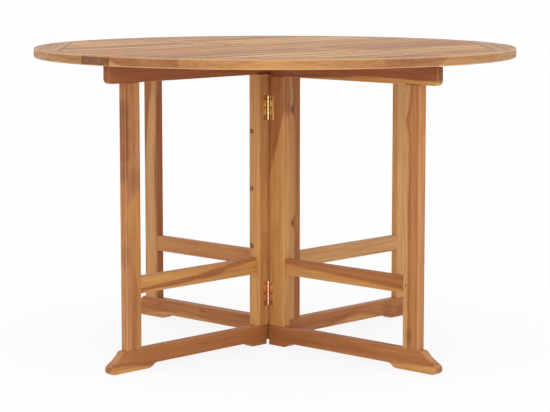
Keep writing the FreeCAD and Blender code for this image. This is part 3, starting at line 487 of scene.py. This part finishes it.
def gap_shade_of(tree, place, spoke):
    """Painted shade of the gap, square to a spoke of the top, where a segment of the rim meets the slats."""
    reach = add_node(tree, "VectorMath", {0: place, 1: spoke}, operation="DOT_PRODUCT").outputs["Value"]
    off = maths(tree, "ABSOLUTE", maths(tree, "SUBTRACT", reach, RIM_CHORD))
    return maths(tree, "MULTIPLY", between(tree, off, GAP_SHADE_WIDTH, GAP_SHADE_WIDTH / 2), GAP_SHADE_DEPTH)


def strip_variation(tree, place, strips, seed, heart, sap):
    """Gives each slat of a row its own seed and its own tone between the heart's and the sapwood's."""
    start, pitch = strips
    off = maths(tree, "SUBTRACT", parts_of(tree, place)["Y"], start)
    count = maths(tree, "FLOOR", maths(tree, "DIVIDE", off, pitch))
    draw = add_node(tree, "TexWhiteNoise", {"W": maths(tree, "ADD", count, seed)}, noise_dimensions="1D")
    own = draw.outputs["Value"]
    return {
        "Seed": maths(tree, "MULTIPLY_ADD", own, STRIP_SEEDS, seed),
        "Heart": blended(tree, tone(heart), tone(sap), own),
    }


def teak(name, centre, along, side, heart, sap=SAP_GOLD, edge=None, crossing=None, taper=0.0, limit=None,
         wave=0.012, feather=SAP_FEATHER, margin=0.3, stripe=Stripe(0.0, 0.0), bulges=(), knots=(),
         spoke=None, strips=None, ring_width=0.011, ring_depth=0.25, figure=0.6, end=END_GRAIN,
         arris=0.2, arris_tone=RUBBED_ARRIS_HIGHLIGHT, shine=0.28):
    """A material for one board: cut along its grain, with its sapwood on the given side past the edge.

    The edge is measured from the board's middle. It rises by its taper along the board, stays above its limit
    and may be given by the height at which it crosses the middle of an upright board.
    """
    material, tree, shader = finish_of(name)
    start = centre[2] if along == UPRIGHT else 0.0
    if crossing is not None:
        edge = (start - crossing) * taper
    pith = PITH_AWAY if edge is None else HEART_RADIUS - edge
    grain, outward = Vector(along).normalized(), Vector(side).normalized()
    log_axes = Matrix((grain, outward, grain.cross(outward)))
    turn = tuple(log_axes.to_euler())
    shift = tuple(log_axes @ -Vector(centre) + Vector((0, pith, 0)))
    surface = add_node(tree, "TexCoord").outputs
    placing = {"Vector": surface["Object"], "Location": shift, "Rotation": turn}
    place = add_node(tree, "Mapping", placing).outputs[0]
    facing = add_node(tree, "Mapping", {"Vector": surface["Normal"], "Rotation": turn}).outputs[0]
    seed = random.Random(name).uniform(0, BOARD_SEEDS)
    inputs = {
        "Place": place, "Facing": facing, "Seed": seed, "Heart": tone(heart), "Sap": tone(sap),
        "Sap start": NO_SAPWOOD if edge is None else HEART_RADIUS, "Sap taper": taper, "Sap wave": wave,
        "Sap least": 0.0 if limit is None else HEART_RADIUS + limit - edge, "Sap feather": feather,
        "End": end + (1,), "Margin": margin, "Arris wear and shading": arris, "Arris wear and shading tone": tone(arris_tone),
        "Stripe at": stripe.at, "Stripe width": stripe.width,
        "Ring width": ring_width, "Ring depth": ring_depth, "Figure": figure,
    }
    if bulges:
        inputs["Bulge"] = bulge_of(tree, place, bulges, start)
    if knots:
        inputs["Knot"] = knot_of(tree, place, knots, start, pith)
    # Painted shade of the gap where the rim meets the slats, given through the knot input
    if spoke:
        inputs["Knot"] = gap_shade_of(tree, surface["Object"], spoke)
    if strips:
        inputs.update(strip_variation(tree, surface["Object"], strips, seed, heart, sap))
    wood = add_node(tree, "Group", inputs, node_tree=GROWN_TEAK).outputs
    for output, socket in {"Colour": "Base Color", "Roughness": "Roughness", "Normal": "Normal"}.items():
        tree.links.new(wood[output], shader.inputs[socket])
    shader.inputs["Specular IOR Level"].default_value = shine
    return material


def dress(node_name, material):
    """Gives a node its finish."""
    mesh = frame["nodes"][node_name].data
    mesh.materials.clear()
    mesh.materials.append(material)


def board(node_name, along, side, heart, **growth):
    """Dresses one board in its own cut of teak."""
    low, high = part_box(node_name)
    dress(node_name, teak(node_name, (low + high) / 2, along, side, heart, **growth))


def dress_centre_frame():
    """Foot, posts, stretchers and top rail under the centre board."""
    board("frame_foot", ALONG_X, DOWN, FOOT_BROWN, edge=0.034, wave=0.006,
          bulges=(Swelling(at=0.3, reach=0.12, depth=-0.035), Swelling(at=-0.56, reach=0.15, depth=-0.024)),
          knots=(Knot(at=0.43, over=-0.002, size=0.02, depth=0.35),
                 Knot(at=0.485, over=0.004, size=0.018, depth=0.3)))
    board("frame_top_rail", ALONG_X, DOWN, HEART_RED, figure=0.5, end=RAIL_END, arris=0.05)
    board("end_post_front", UPRIGHT, RIGHT, POST_BROWN, crossing=0.4135, taper=1.0, limit=-0.0235, wave=0.03,
          feather=0.03, margin=0.0, figure=0.9, bulges=(Swelling(at=0.08, reach=0.22, depth=0.047),),
          knots=(Knot(at=0.61, over=-0.032, size=0.03, depth=0.6),
                 Knot(at=0.565, over=-0.03, size=0.03, depth=0.6),
                 Knot(at=0.52, over=-0.03, size=0.028, depth=0.6),
                 Knot(at=0.48, over=-0.034, size=0.026, depth=0.5),
                 Knot(at=0.45, over=0.0, size=0.026, depth=0.25),
                 Knot(at=0.28, over=-0.03, size=0.024, depth=0.3)))
    board("end_post_back", UPRIGHT, RIGHT, SAP_PALE, sap=SAP_TAN, edge=-0.014, wave=0.01, figure=0.3)
    board("hinge_post_front", UPRIGHT, LEFT, POST_HONEY, edge=0.018, wave=0.006, figure=0.4)
    board("hinge_post_back", UPRIGHT, LEFT, HEART_BROWN, sap=SAP_TAN, edge=0.001, wave=0.008, feather=0.006,
          bulges=(Swelling(at=0.59, reach=0.017, depth=0.013), Swelling(at=0.301, reach=0.013, depth=0.014),
                  Swelling(at=0.69, reach=0.07, depth=0.009)),
          knots=(Knot(at=0.59, over=0.007, size=0.007, depth=0.6),
                 Knot(at=0.301, over=0.007, size=0.006, depth=0.6)))
    board("middle_post", UPRIGHT, FRONT, HEART_BROWN)
    board("frame_stretcher_front", ALONG_X, UP, HEART_BROWN, edge=-0.05, taper=0.08, wave=0.05, feather=0.02,
          margin=0.0, stripe=Stripe(at=0.05, width=0.009), figure=0.7)
    board("frame_stretcher_back", ALONG_X, UP, HEART_HONEY, sap=SAP_TAN, edge=-0.015, wave=0.01, figure=0.3)


def dress_front_gate():
    """Posts, rails, foot and stretcher of the gate towards the camera."""
    board("gate_front_inner_post", UPRIGHT, FRONT, HEART_BROWN, crossing=0.5, taper=0.28, wave=0.008)
    board("gate_front_outer_post", UPRIGHT, BACK, HEART_HONEY, sap=SAP_TAN, edge=0.01, wave=0.016,
          feather=0.008, margin=0.85, figure=0.5, bulges=(Swelling(at=0.593, reach=0.022, depth=0.008),),
          knots=(Knot(at=0.203, over=0.014, size=0.0028, depth=1.0),
                 Knot(at=0.085, over=0.004, size=0.014, depth=0.35)))
    board("gate_front_stretcher", ALONG_Y, DOWN, HEART_BROWN, edge=0.003, taper=-0.04, wave=0.004, margin=0.1)
    board("gate_front_top_rail", ALONG_Y, DOWN, HEART_RED, edge=0.012, wave=0.008, end=RAIL_END,
          bulges=(Swelling(at=0.2, reach=0.2, depth=0.014),))
    board("gate_front_foot", ALONG_Y, DOWN, HEART_BROWN, edge=0.03, taper=0.083, wave=0.006, margin=0.1)


def dress_back_gate():
    """Posts, rails, foot and stretcher of the gate away from the camera."""
    board("gate_back_inner_post", UPRIGHT, FRONT, HEART_BROWN)
    board("gate_back_outer_post", UPRIGHT, FRONT, HEART_BROWN, sap=SAP_TAN, edge=-0.021, wave=0.006,
          bulges=(Swelling(at=0.68, reach=0.16, depth=0.027),), stripe=Stripe(at=0.052, width=0.014))
    board("gate_back_stretcher", ALONG_Y, UP, HEART_HONEY, figure=0.35)
    board("gate_back_top_rail", ALONG_Y, DOWN, HEART_BROWN)
    board("gate_back_foot", ALONG_Y, DOWN, HEART_HONEY, sap=POST_BROWN, edge=0.024, wave=0.012, feather=0.012,
          margin=0.1, figure=0.9, bulges=(Swelling(at=0.06, reach=0.13, depth=-0.024),),
          knots=(Knot(at=-0.005, over=-0.014, size=0.008, depth=0.45),))


def dress_rim(node_name, angle, heart, growth):
    """One segment of the rim, its grain square to the spoke through its middle, its sapwood underneath and
    painted shade along its gap by the slats.
    """
    turn = math.radians(angle)
    spoke = (math.cos(turn), math.sin(turn), 0)
    board(node_name, (-spoke[1], spoke[0], 0), DOWN, heart, spoke=spoke, feather=0.004, wave=0.006,
          arris=0.45, shine=TOP_SHINE, figure=0.5, **growth)


def dress_leaf(leaf, outward, first_angle, rims):
    """Rim, rails, rest block and slats of one leaf."""
    for count, (heart, growth) in enumerate(rims):
        dress_rim(f"{leaf}_rim_{count + 1}", first_angle + RIM_ANGLE * count, heart, growth)
    board(f"{leaf}_hinge_rail", ALONG_X, outward, TOP_HONEY, figure=0.4, **SLATTED)
    board(f"{leaf}_middle_rail", ALONG_Y, RIGHT, TOP_HONEY, figure=0.4, **SLATTED)
    board(f"{leaf}_rest_block", ALONG_Y, DOWN, HEART_BROWN)
    rail_low, rail_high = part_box(f"{leaf}_hinge_rail")
    for half in ("left", "right"):
        row = f"{leaf}_slats_{half}"
        low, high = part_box(row)
        gap = min(abs(low.y - rail_high.y), abs(high.y - rail_low.y))
        pitch = (high.y - low.y + gap) / SLATS_IN_A_ROW
        strips = (low.y - gap / 2, pitch)
        board(row, ALONG_X, outward, TOP_UMBER, sap=TOP_TAN, figure=0.8, strips=strips, **SLATTED)


def dress_top():
    """Centre board and both leaves. Three segments towards the camera have sapwood of their own shape."""
    board("centre_board", ALONG_X, DOWN, TOP_HONEY, end=BOARD_END, shine=TOP_SHINE, figure=0.5)
    wedge = {"sap": RIM_TAN, "edge": 0.03, "taper": 0.28}
    hollow = Swelling(at=-0.02, reach=0.055, depth=-0.0095)
    lens = {"sap": RIM_GOLD, "edge": 0.016, "bulges": (hollow,), "margin": 0.1}
    fading = {"sap": RIM_HONEY, "edge": -0.03, "taper": -0.5, "margin": 0.0}
    plain = (RIM_HONEY, {})
    front_rims = ((RIM_BROWN, wedge), (RIM_HONEY, lens), (RIM_PINK, fading), plain, plain)
    back_rims = (plain, plain, plain, plain, (RIM_TAN, {}))
    dress_leaf("leaf_front", FRONT, 180, front_rims)
    dress_leaf("leaf_back", BACK, 0, back_rims)


def start_of_piece():
    """Lets go of everything, so that the next operators act on the new piece alone."""
    bpy.ops.object.select_all(action="DESELECT")


def rounded(piece, width):
    """Rounds a piece's sharp edges and smooths its round faces."""
    bevel = piece.modifiers.new("rounding", "BEVEL")
    bevel.width = width
    bevel.segments = ROUNDING_STEPS
    bevel.limit_method = "ANGLE"
    bevel.angle_limit = math.radians(SHARP_ANGLE)
    bpy.ops.object.modifier_apply(modifier=bevel.name)
    bpy.ops.object.shade_smooth_by_angle(angle=math.radians(SMOOTH_ANGLE))
    return piece


def block(low, high, rounding):
    """A block between two corners with rounded edges."""
    start_of_piece()
    low, high = Vector(low), Vector(high)
    sides = [abs(side) for side in high - low]
    bpy.ops.mesh.primitive_cube_add(size=1, location=(low + high) / 2, scale=sides)
    bpy.ops.object.transform_apply(location=True, rotation=True, scale=True)
    return rounded(bpy.context.object, rounding)


def cylinder(bottom, top, radius):
    """A plain upright cylinder between the levels of its ends."""
    start_of_piece()
    bpy.ops.mesh.primitive_cylinder_add(vertices=ROUND_SIDES, radius=radius, depth=top - bottom,
                                        location=(0, 0, (bottom + top) / 2))
    bpy.ops.object.transform_apply(location=True, rotation=True, scale=True)
    return bpy.context.object


def joined(name, pieces):
    """One object of several pieces."""
    start_of_piece()
    for piece in pieces:
        piece.select_set(True)
    bpy.context.view_layer.objects.active = pieces[0]
    bpy.ops.object.join()
    pieces[0].name = name
    pieces[0].data.name = name
    return pieces[0]


def hinge_leaf():
    """Half of a butt hinge about its own axis: a plate, and every other knuckle with the strap into it."""
    near, far = -PIN_PROUD, -PIN_PROUD - PLATE_THICKNESS
    half = HINGE_HEIGHT / 2
    strap_end = BARREL_ROOM + METAL_ROUNDING * 2
    pieces = [block((BARREL_ROOM, far, -half), (LEAF_REACH, near, half), METAL_ROUNDING)]
    knuckle = HINGE_HEIGHT / KNUCKLE_COUNT
    for count in range(0, KNUCKLE_COUNT, 2):
        low = count * knuckle - half + KNUCKLE_GAP
        high = low + knuckle - 2 * KNUCKLE_GAP
        pieces.append(block((0, far, low), (strap_end, near, high), METAL_ROUNDING / 2))
        pieces.append(rounded(cylinder(low, high, BARREL_RADIUS), METAL_ROUNDING))
    return joined("hinge_leaf", pieces)


def draw_shank(piece):
    """Draws the underside of a screw's head out to a shank and a tip."""
    shank = SCREW_LENGTH * SHANK_SHARE
    tip = SCREW_LENGTH - SCREW_HEAD_HEIGHT - shank
    neck = SCREW_RADIUS / SCREW_HEAD_RADIUS
    bpy.ops.object.mode_set(mode="EDIT")
    bpy.ops.mesh.select_mode(type="FACE")
    bpy.ops.mesh.select_all(action="DESELECT")
    bpy.ops.object.mode_set(mode="OBJECT")
    for face in piece.data.polygons:
        face.select = face.normal.z < FACES_DOWN
    bpy.ops.object.mode_set(mode="EDIT")
    bpy.ops.transform.resize(value=(neck, neck, 1), center_override=(0, 0, -SCREW_HEAD_HEIGHT))
    bpy.ops.mesh.extrude_region_move(TRANSFORM_OT_translate={"value": (0, 0, -shank)})
    bpy.ops.mesh.extrude_region_move(TRANSFORM_OT_translate={"value": (0, 0, -tip)})
    bpy.ops.transform.resize(value=(TIP_SHARE, TIP_SHARE, 1), center_override=(0, 0, -SCREW_LENGTH))
    bpy.ops.object.mode_set(mode="OBJECT")


def slotted_screw():
    """A wood screw that points down from a sunk, slotted head."""
    piece = cylinder(-SCREW_HEAD_HEIGHT, 0, SCREW_HEAD_RADIUS)
    draw_shank(piece)
    slot_end = SCREW_HEAD_RADIUS * SLOT_OVERRUN
    low, high = (-slot_end, -SLOT_WIDTH / 2, -SLOT_DEPTH), (slot_end, SLOT_WIDTH / 2, SLOT_DEPTH)
    cutter = block(low, high, SLOT_WIDTH / 10)
    start_of_piece()
    piece.select_set(True)
    bpy.context.view_layer.objects.active = piece
    slot = piece.modifiers.new("slot", "BOOLEAN")
    slot.object = cutter
    slot.operation = "DIFFERENCE"
    bpy.ops.object.modifier_apply(modifier=slot.name)
    bpy.data.objects.remove(cutter)
    return rounded(piece, METAL_ROUNDING / 2)


def placed_copy(pattern, turn, spot):
    """A copy of a piece with its own mesh, turned and set in place in that mesh."""
    copy = bpy.data.objects.new(pattern.name, pattern.data.copy())
    bpy.context.scene.collection.objects.link(copy)
    copy.data.transform(Matrix.Translation(Vector(spot)) @ turn.to_4x4())
    return copy


def stand_for(node_name, piece, material):
    """Puts a modelled piece in the place of a node, on the same body."""
    piece.data.materials.clear()
    piece.data.materials.append(material)
    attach(piece, frame["nodes"][node_name]["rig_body"])
    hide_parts(node_name)


def swing_axes():
    """Where the upright axis of each gate's hinges stands, by the gate's name."""
    swings = [joint for joint in frame["joints"] if joint["name"].endswith("swing")]
    return {joint["child"]: joint["pos_m"][:2] for joint in swings}


def half_hinges(leaf, screw, axis, levels, away, out):
    """Leaves and screws on one side of a gate's axis, whose plates run away from it and face out."""
    leaf_turn = Matrix((away, out, away.cross(out))).transposed()
    out_turn = Vector(UP).rotation_difference(out).to_matrix()
    screw_row = away * (LEAF_REACH + BARREL_ROOM) / 2 - out * PIN_PROUD
    leaves, screws = [], []
    for level in levels:
        middle = Vector((*axis, level))
        leaves.append(placed_copy(leaf, leaf_turn, middle))
        for count, slot_turn in enumerate(SLOT_TURNS):
            rise = Vector(UP) * SCREW_PITCH * (count - len(SLOT_TURNS) // 2)
            turn = out_turn @ Matrix.Rotation(math.radians(slot_turn), 3, "Z")
            screws.append(placed_copy(screw, turn, middle + screw_row + rise))
    return leaves, screws


def model_butt_hinges(plate_finish, screw_finish):
    """Both gates' hinges, each of a leaf and the same leaf turned over, with slotted screws."""
    leaf, screw = hinge_leaf(), slotted_screw()
    low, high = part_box("gate_hinge_frame_leaves")
    levels = (low.z + HINGE_HEIGHT / 2, high.z - HINGE_HEIGHT / 2)
    frame_leaves, frame_screws = [], []
    for gate, axis in swing_axes().items():
        way = 1 if axis[0] > 0 else -1
        along_frame, along_gate = Vector(RIGHT) * way, Vector(BACK) * way
        leaves, screws = half_hinges(leaf, screw, axis, levels, along_frame, along_gate)
        frame_leaves += leaves
        frame_screws += screws
        leaves, screws = half_hinges(leaf, screw, axis, levels, along_gate, along_frame)
        stand_for(f"{gate}_hinge_leaves", joined(f"{gate}_leaves", leaves), plate_finish)
        stand_for(f"{gate}_hinge_screws", joined(f"{gate}_screws", screws), screw_finish)
    stand_for("gate_hinge_frame_leaves", joined("frame_leaves", frame_leaves), plate_finish)
    stand_for("gate_hinge_frame_screws", joined("frame_screws", frame_screws), screw_finish)
    for pattern in (leaf, screw):
        bpy.data.objects.remove(pattern)


def plug_finish(name, first_level, pitch):
    """End grain of the plugs, with a dark line of glue round each."""
    middle = (0, 0, first_level)
    material = teak(name, middle, ALONG_X, UP, HEART_HONEY, ring_width=PLUG_RING_WIDTH, ring_depth=0.5)
    tree = material.node_tree
    colour = tree.nodes["Principled BSDF"].inputs["Base Color"]
    spot = parts_of(tree, add_node(tree, "TexCoord").outputs["Object"])
    nearest = maths(tree, "WRAP", spot["Z"], first_level + pitch / 2, first_level - pitch / 2)
    rise = maths(tree, "SUBTRACT", nearest, first_level)
    over = maths(tree, "SUBTRACT", maths(tree, "ABSOLUTE", spot["Y"]), PLUG_OFFSET)
    away = maths(tree, "SQRT", maths(tree, "MULTIPLY_ADD", rise, rise, maths(tree, "MULTIPLY", over, over)))
    glue = between(tree, away, PLUG_RADIUS * GLUE_START, PLUG_RADIUS * GLUE_FULL)
    tree.links.new(tinted(tree, colour.links[0].from_socket, GLUE_DARK, glue), colour)
    return material


def model_plugs():
    """Round plugs over the screws of the hinge posts, which fill their many-sided holes."""
    low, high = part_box("post_plugs")
    first_level = low.z + PLUG_RADIUS
    pitch = (high.z - low.z - 2 * PLUG_RADIUS) / (PLUGS_IN_A_POST - 1)
    pattern = rounded(cylinder(-PLUG_LENGTH, 0, PLUG_RADIUS * PLUG_FILL), PLUG_ROUNDING)
    plugs = []
    for way, face in ((1, high.x), (-1, low.x)):
        turn = Vector(UP).rotation_difference(Vector(RIGHT) * way).to_matrix()
        for count in range(PLUGS_IN_A_POST):
            spot = (face, -way * PLUG_OFFSET, first_level + count * pitch)
            plugs.append(placed_copy(pattern, turn, spot))
    bpy.data.objects.remove(pattern)
    finish = plug_finish("plug_wood", first_level, pitch)
    stand_for("post_plugs", joined("round_plugs", plugs), finish)


def sheet_metal(name, metal):
    """Rolled metal: upright lines, a cloudy tarnish and scuffs that dull its shine."""
    material, tree, shader = finish_of(name)
    place = add_node(tree, "TexCoord").outputs["Object"]
    drawn = vector_maths(tree, "MULTIPLY", place, ROLLED_UPRIGHT)
    lines = drawn_noise(tree, drawn, LINES_SEED, ROLLED_LINES).outputs[0]
    tarnish = mark_of(tree, place, TARNISH_SEED, TARNISH)
    colour = blended(tree, tone(metal.bright), tone(metal.deep), tarnish)
    roughness = maths(tree, "MULTIPLY_ADD", tarnish, TARNISH_DULLS, metal.roughness)
    roughness = maths(tree, "MULTIPLY_ADD", lines, LINES_DULL, roughness)
    bump = add_node(tree, "Bump", {"Height": lines, "Strength": LINE_STRENGTH, "Distance": LINE_DEPTH})
    tree.links.new(colour, shader.inputs["Base Color"])
    tree.links.new(roughness, shader.inputs["Roughness"])
    tree.links.new(bump.outputs[0], shader.inputs["Normal"])
    shader.inputs["Metallic"].default_value = 1
    return material


def butt_hinge_brass(name):
    """Brass of the gates' hinges: yellow on the upper ones, coppery near the floor, with a painted highlight
    on the barrels' outer side and painted dark reflections on their sides.
    """
    material = sheet_metal(name, BUTT_BRASS)
    tree = material.node_tree
    base = tree.nodes["Principled BSDF"].inputs["Base Color"]
    spot = parts_of(tree, add_node(tree, "TexCoord").outputs["Object"])
    axis_x, axis_y = next(iter(swing_axes().values()))
    over = maths(tree, "SUBTRACT", maths(tree, "ABSOLUTE", spot["X"]), abs(axis_x))
    deep = maths(tree, "SUBTRACT", maths(tree, "ABSOLUTE", spot["Y"]), abs(axis_y))
    away = maths(tree, "SQRT", maths(tree, "MULTIPLY_ADD", over, over, maths(tree, "MULTIPLY", deep, deep)))
    barrel = between(tree, away, BARREL_ROOM * BARREL_FADE, BARREL_RADIUS)
    diagonal = maths(tree, "MULTIPLY", away, math.sqrt(2))
    outward = maths(tree, "DIVIDE", maths(tree, "ADD", over, deep), diagonal)
    # Painted highlight on the barrel's outer side, painted dark reflection on its sides
    highlight_share = between(tree, outward, *HIGHLIGHT_FACING)
    painted_barrel_light = blended(tree, tone(BARREL_DARK_REFLECTION), tone(BARREL_HIGHLIGHT), highlight_share)
    colour = blended(tree, base.links[0].from_socket, painted_barrel_light, barrel)
    near_floor = between(tree, spot["Z"], *COPPERY_LEVELS)
    tree.links.new(tinted(tree, colour, COPPERY, near_floor), base)
    return material


def dress_metal():
    """Hinges, their pins and screws, with the gates' hinges and the plugs modelled round."""
    hinge_brass = sheet_metal("hinge_brass", FLAP_BRASS)
    pin_brass = sheet_metal("pin_brass", PIN_BRASS)
    screw_brass = sheet_metal("screw_brass", SCREW_BRASS)
    screw_steel = sheet_metal("screw_steel", SCREW_STEEL)
    for node_name in ("leaf_hinge_board_flaps", "leaf_front_hinge_flaps", "leaf_back_hinge_flaps"):
        dress(node_name, hinge_brass)
    for node_name in ("gate_hinge_pins", "leaf_hinge_pins"):
        dress(node_name, pin_brass)
    for node_name in ("leaf_hinge_board_screws", "leaf_front_screws", "leaf_back_screws"):
        dress(node_name, screw_brass)
    for node_name in ("board_screws", "post_screws"):
        dress(node_name, screw_steel)
    model_butt_hinges(butt_hinge_brass("butt_hinge_brass"), screw_brass)
    model_plugs()


def add_camera():
    """The camera that took the photograph, fitted to it."""
    azimuth = math.radians(VIEW_AZIMUTH)
    lens = bpy.data.cameras.new("camera")
    lens.sensor_width = SENSOR_WIDTH
    lens.lens = FOCAL_PIXELS * SENSOR_WIDTH / IMAGE_WIDTH
    camera = bpy.data.objects.new("camera", lens)
    camera.location = (math.sin(azimuth) * VIEW_DISTANCE, -math.cos(azimuth) * VIEW_DISTANCE, VIEW_HEIGHT)
    camera.rotation_euler = (math.radians(90 - VIEW_PITCH), 0, azimuth)
    bpy.context.scene.collection.objects.link(camera)
    bpy.context.scene.camera = camera


def add_lamp(name, location, size, power):
    """A square soft lamp, aimed at the middle of the table."""
    light = bpy.data.lights.new(name, "AREA")
    light.size = size
    light.energy = power
    lamp = bpy.data.objects.new(name, light)
    lamp.location = location
    lamp.rotation_euler = (Vector(LAMP_AIM) - Vector(location)).to_track_quat("-Z", "Y").to_euler()
    bpy.context.scene.collection.objects.link(lamp)


def white_world():
    """White all round, at a plain level."""
    world = bpy.data.worlds.new("world")
    bpy.context.scene.world = world
    world.use_nodes = True
    sky = world.node_tree.nodes["Background"].inputs
    sky["Color"].default_value = WHITE
    sky["Strength"].default_value = WORLD_LIGHT


def seen_directly(tree):
    """1 for the camera's own rays and for those that metal or glass sends on, 0 for rays that carry light."""
    rays = add_node(tree, "LightPath").outputs
    mirrored = maths(tree, "MAXIMUM", rays["Is Glossy Ray"], rays["Is Transmission Ray"])
    return maths(tree, "MAXIMUM", rays["Is Camera Ray"], mirrored)


def pale_floor():
    """A wide pale floor that shows white to the camera and keeps a soft shadow."""
    start_of_piece()
    bpy.ops.mesh.primitive_plane_add(size=FLOOR_WIDTH, location=(0, 0, -FLOOR_DROP))
    floor = bpy.context.object
    floor.name = "floor"
    material, tree, shader = finish_of("floor_white")
    shader.inputs["Base Color"].default_value = FLOOR_TONE
    shader.inputs["Roughness"].default_value = FLOOR_ROUGHNESS
    shader.inputs["Specular IOR Level"].default_value = 0.0
    glow = add_node(tree, "Emission", {"Color": WHITE, "Strength": 1.0})
    share = maths(tree, "MULTIPLY", seen_directly(tree), FLOOR_WHITE_SHARE)
    mix = add_node(tree, "MixShader", {0: share, 1: shader.outputs[0], 2: glow.outputs[0]})
    tree.links.new(mix.outputs[0], tree.nodes["Material Output"].inputs["Surface"])
    floor.data.materials.append(material)


bpy.context.scene.view_settings.view_transform = "Standard"
GROWN_TEAK = grown_teak()
dress_centre_frame()
dress_front_gate()
dress_back_gate()
dress_top()
dress_metal()
add_camera()
white_world()
pale_floor()
add_lamp("overhead", **OVERHEAD_LAMP)
add_lamp("front", **FRONT_LAMP)
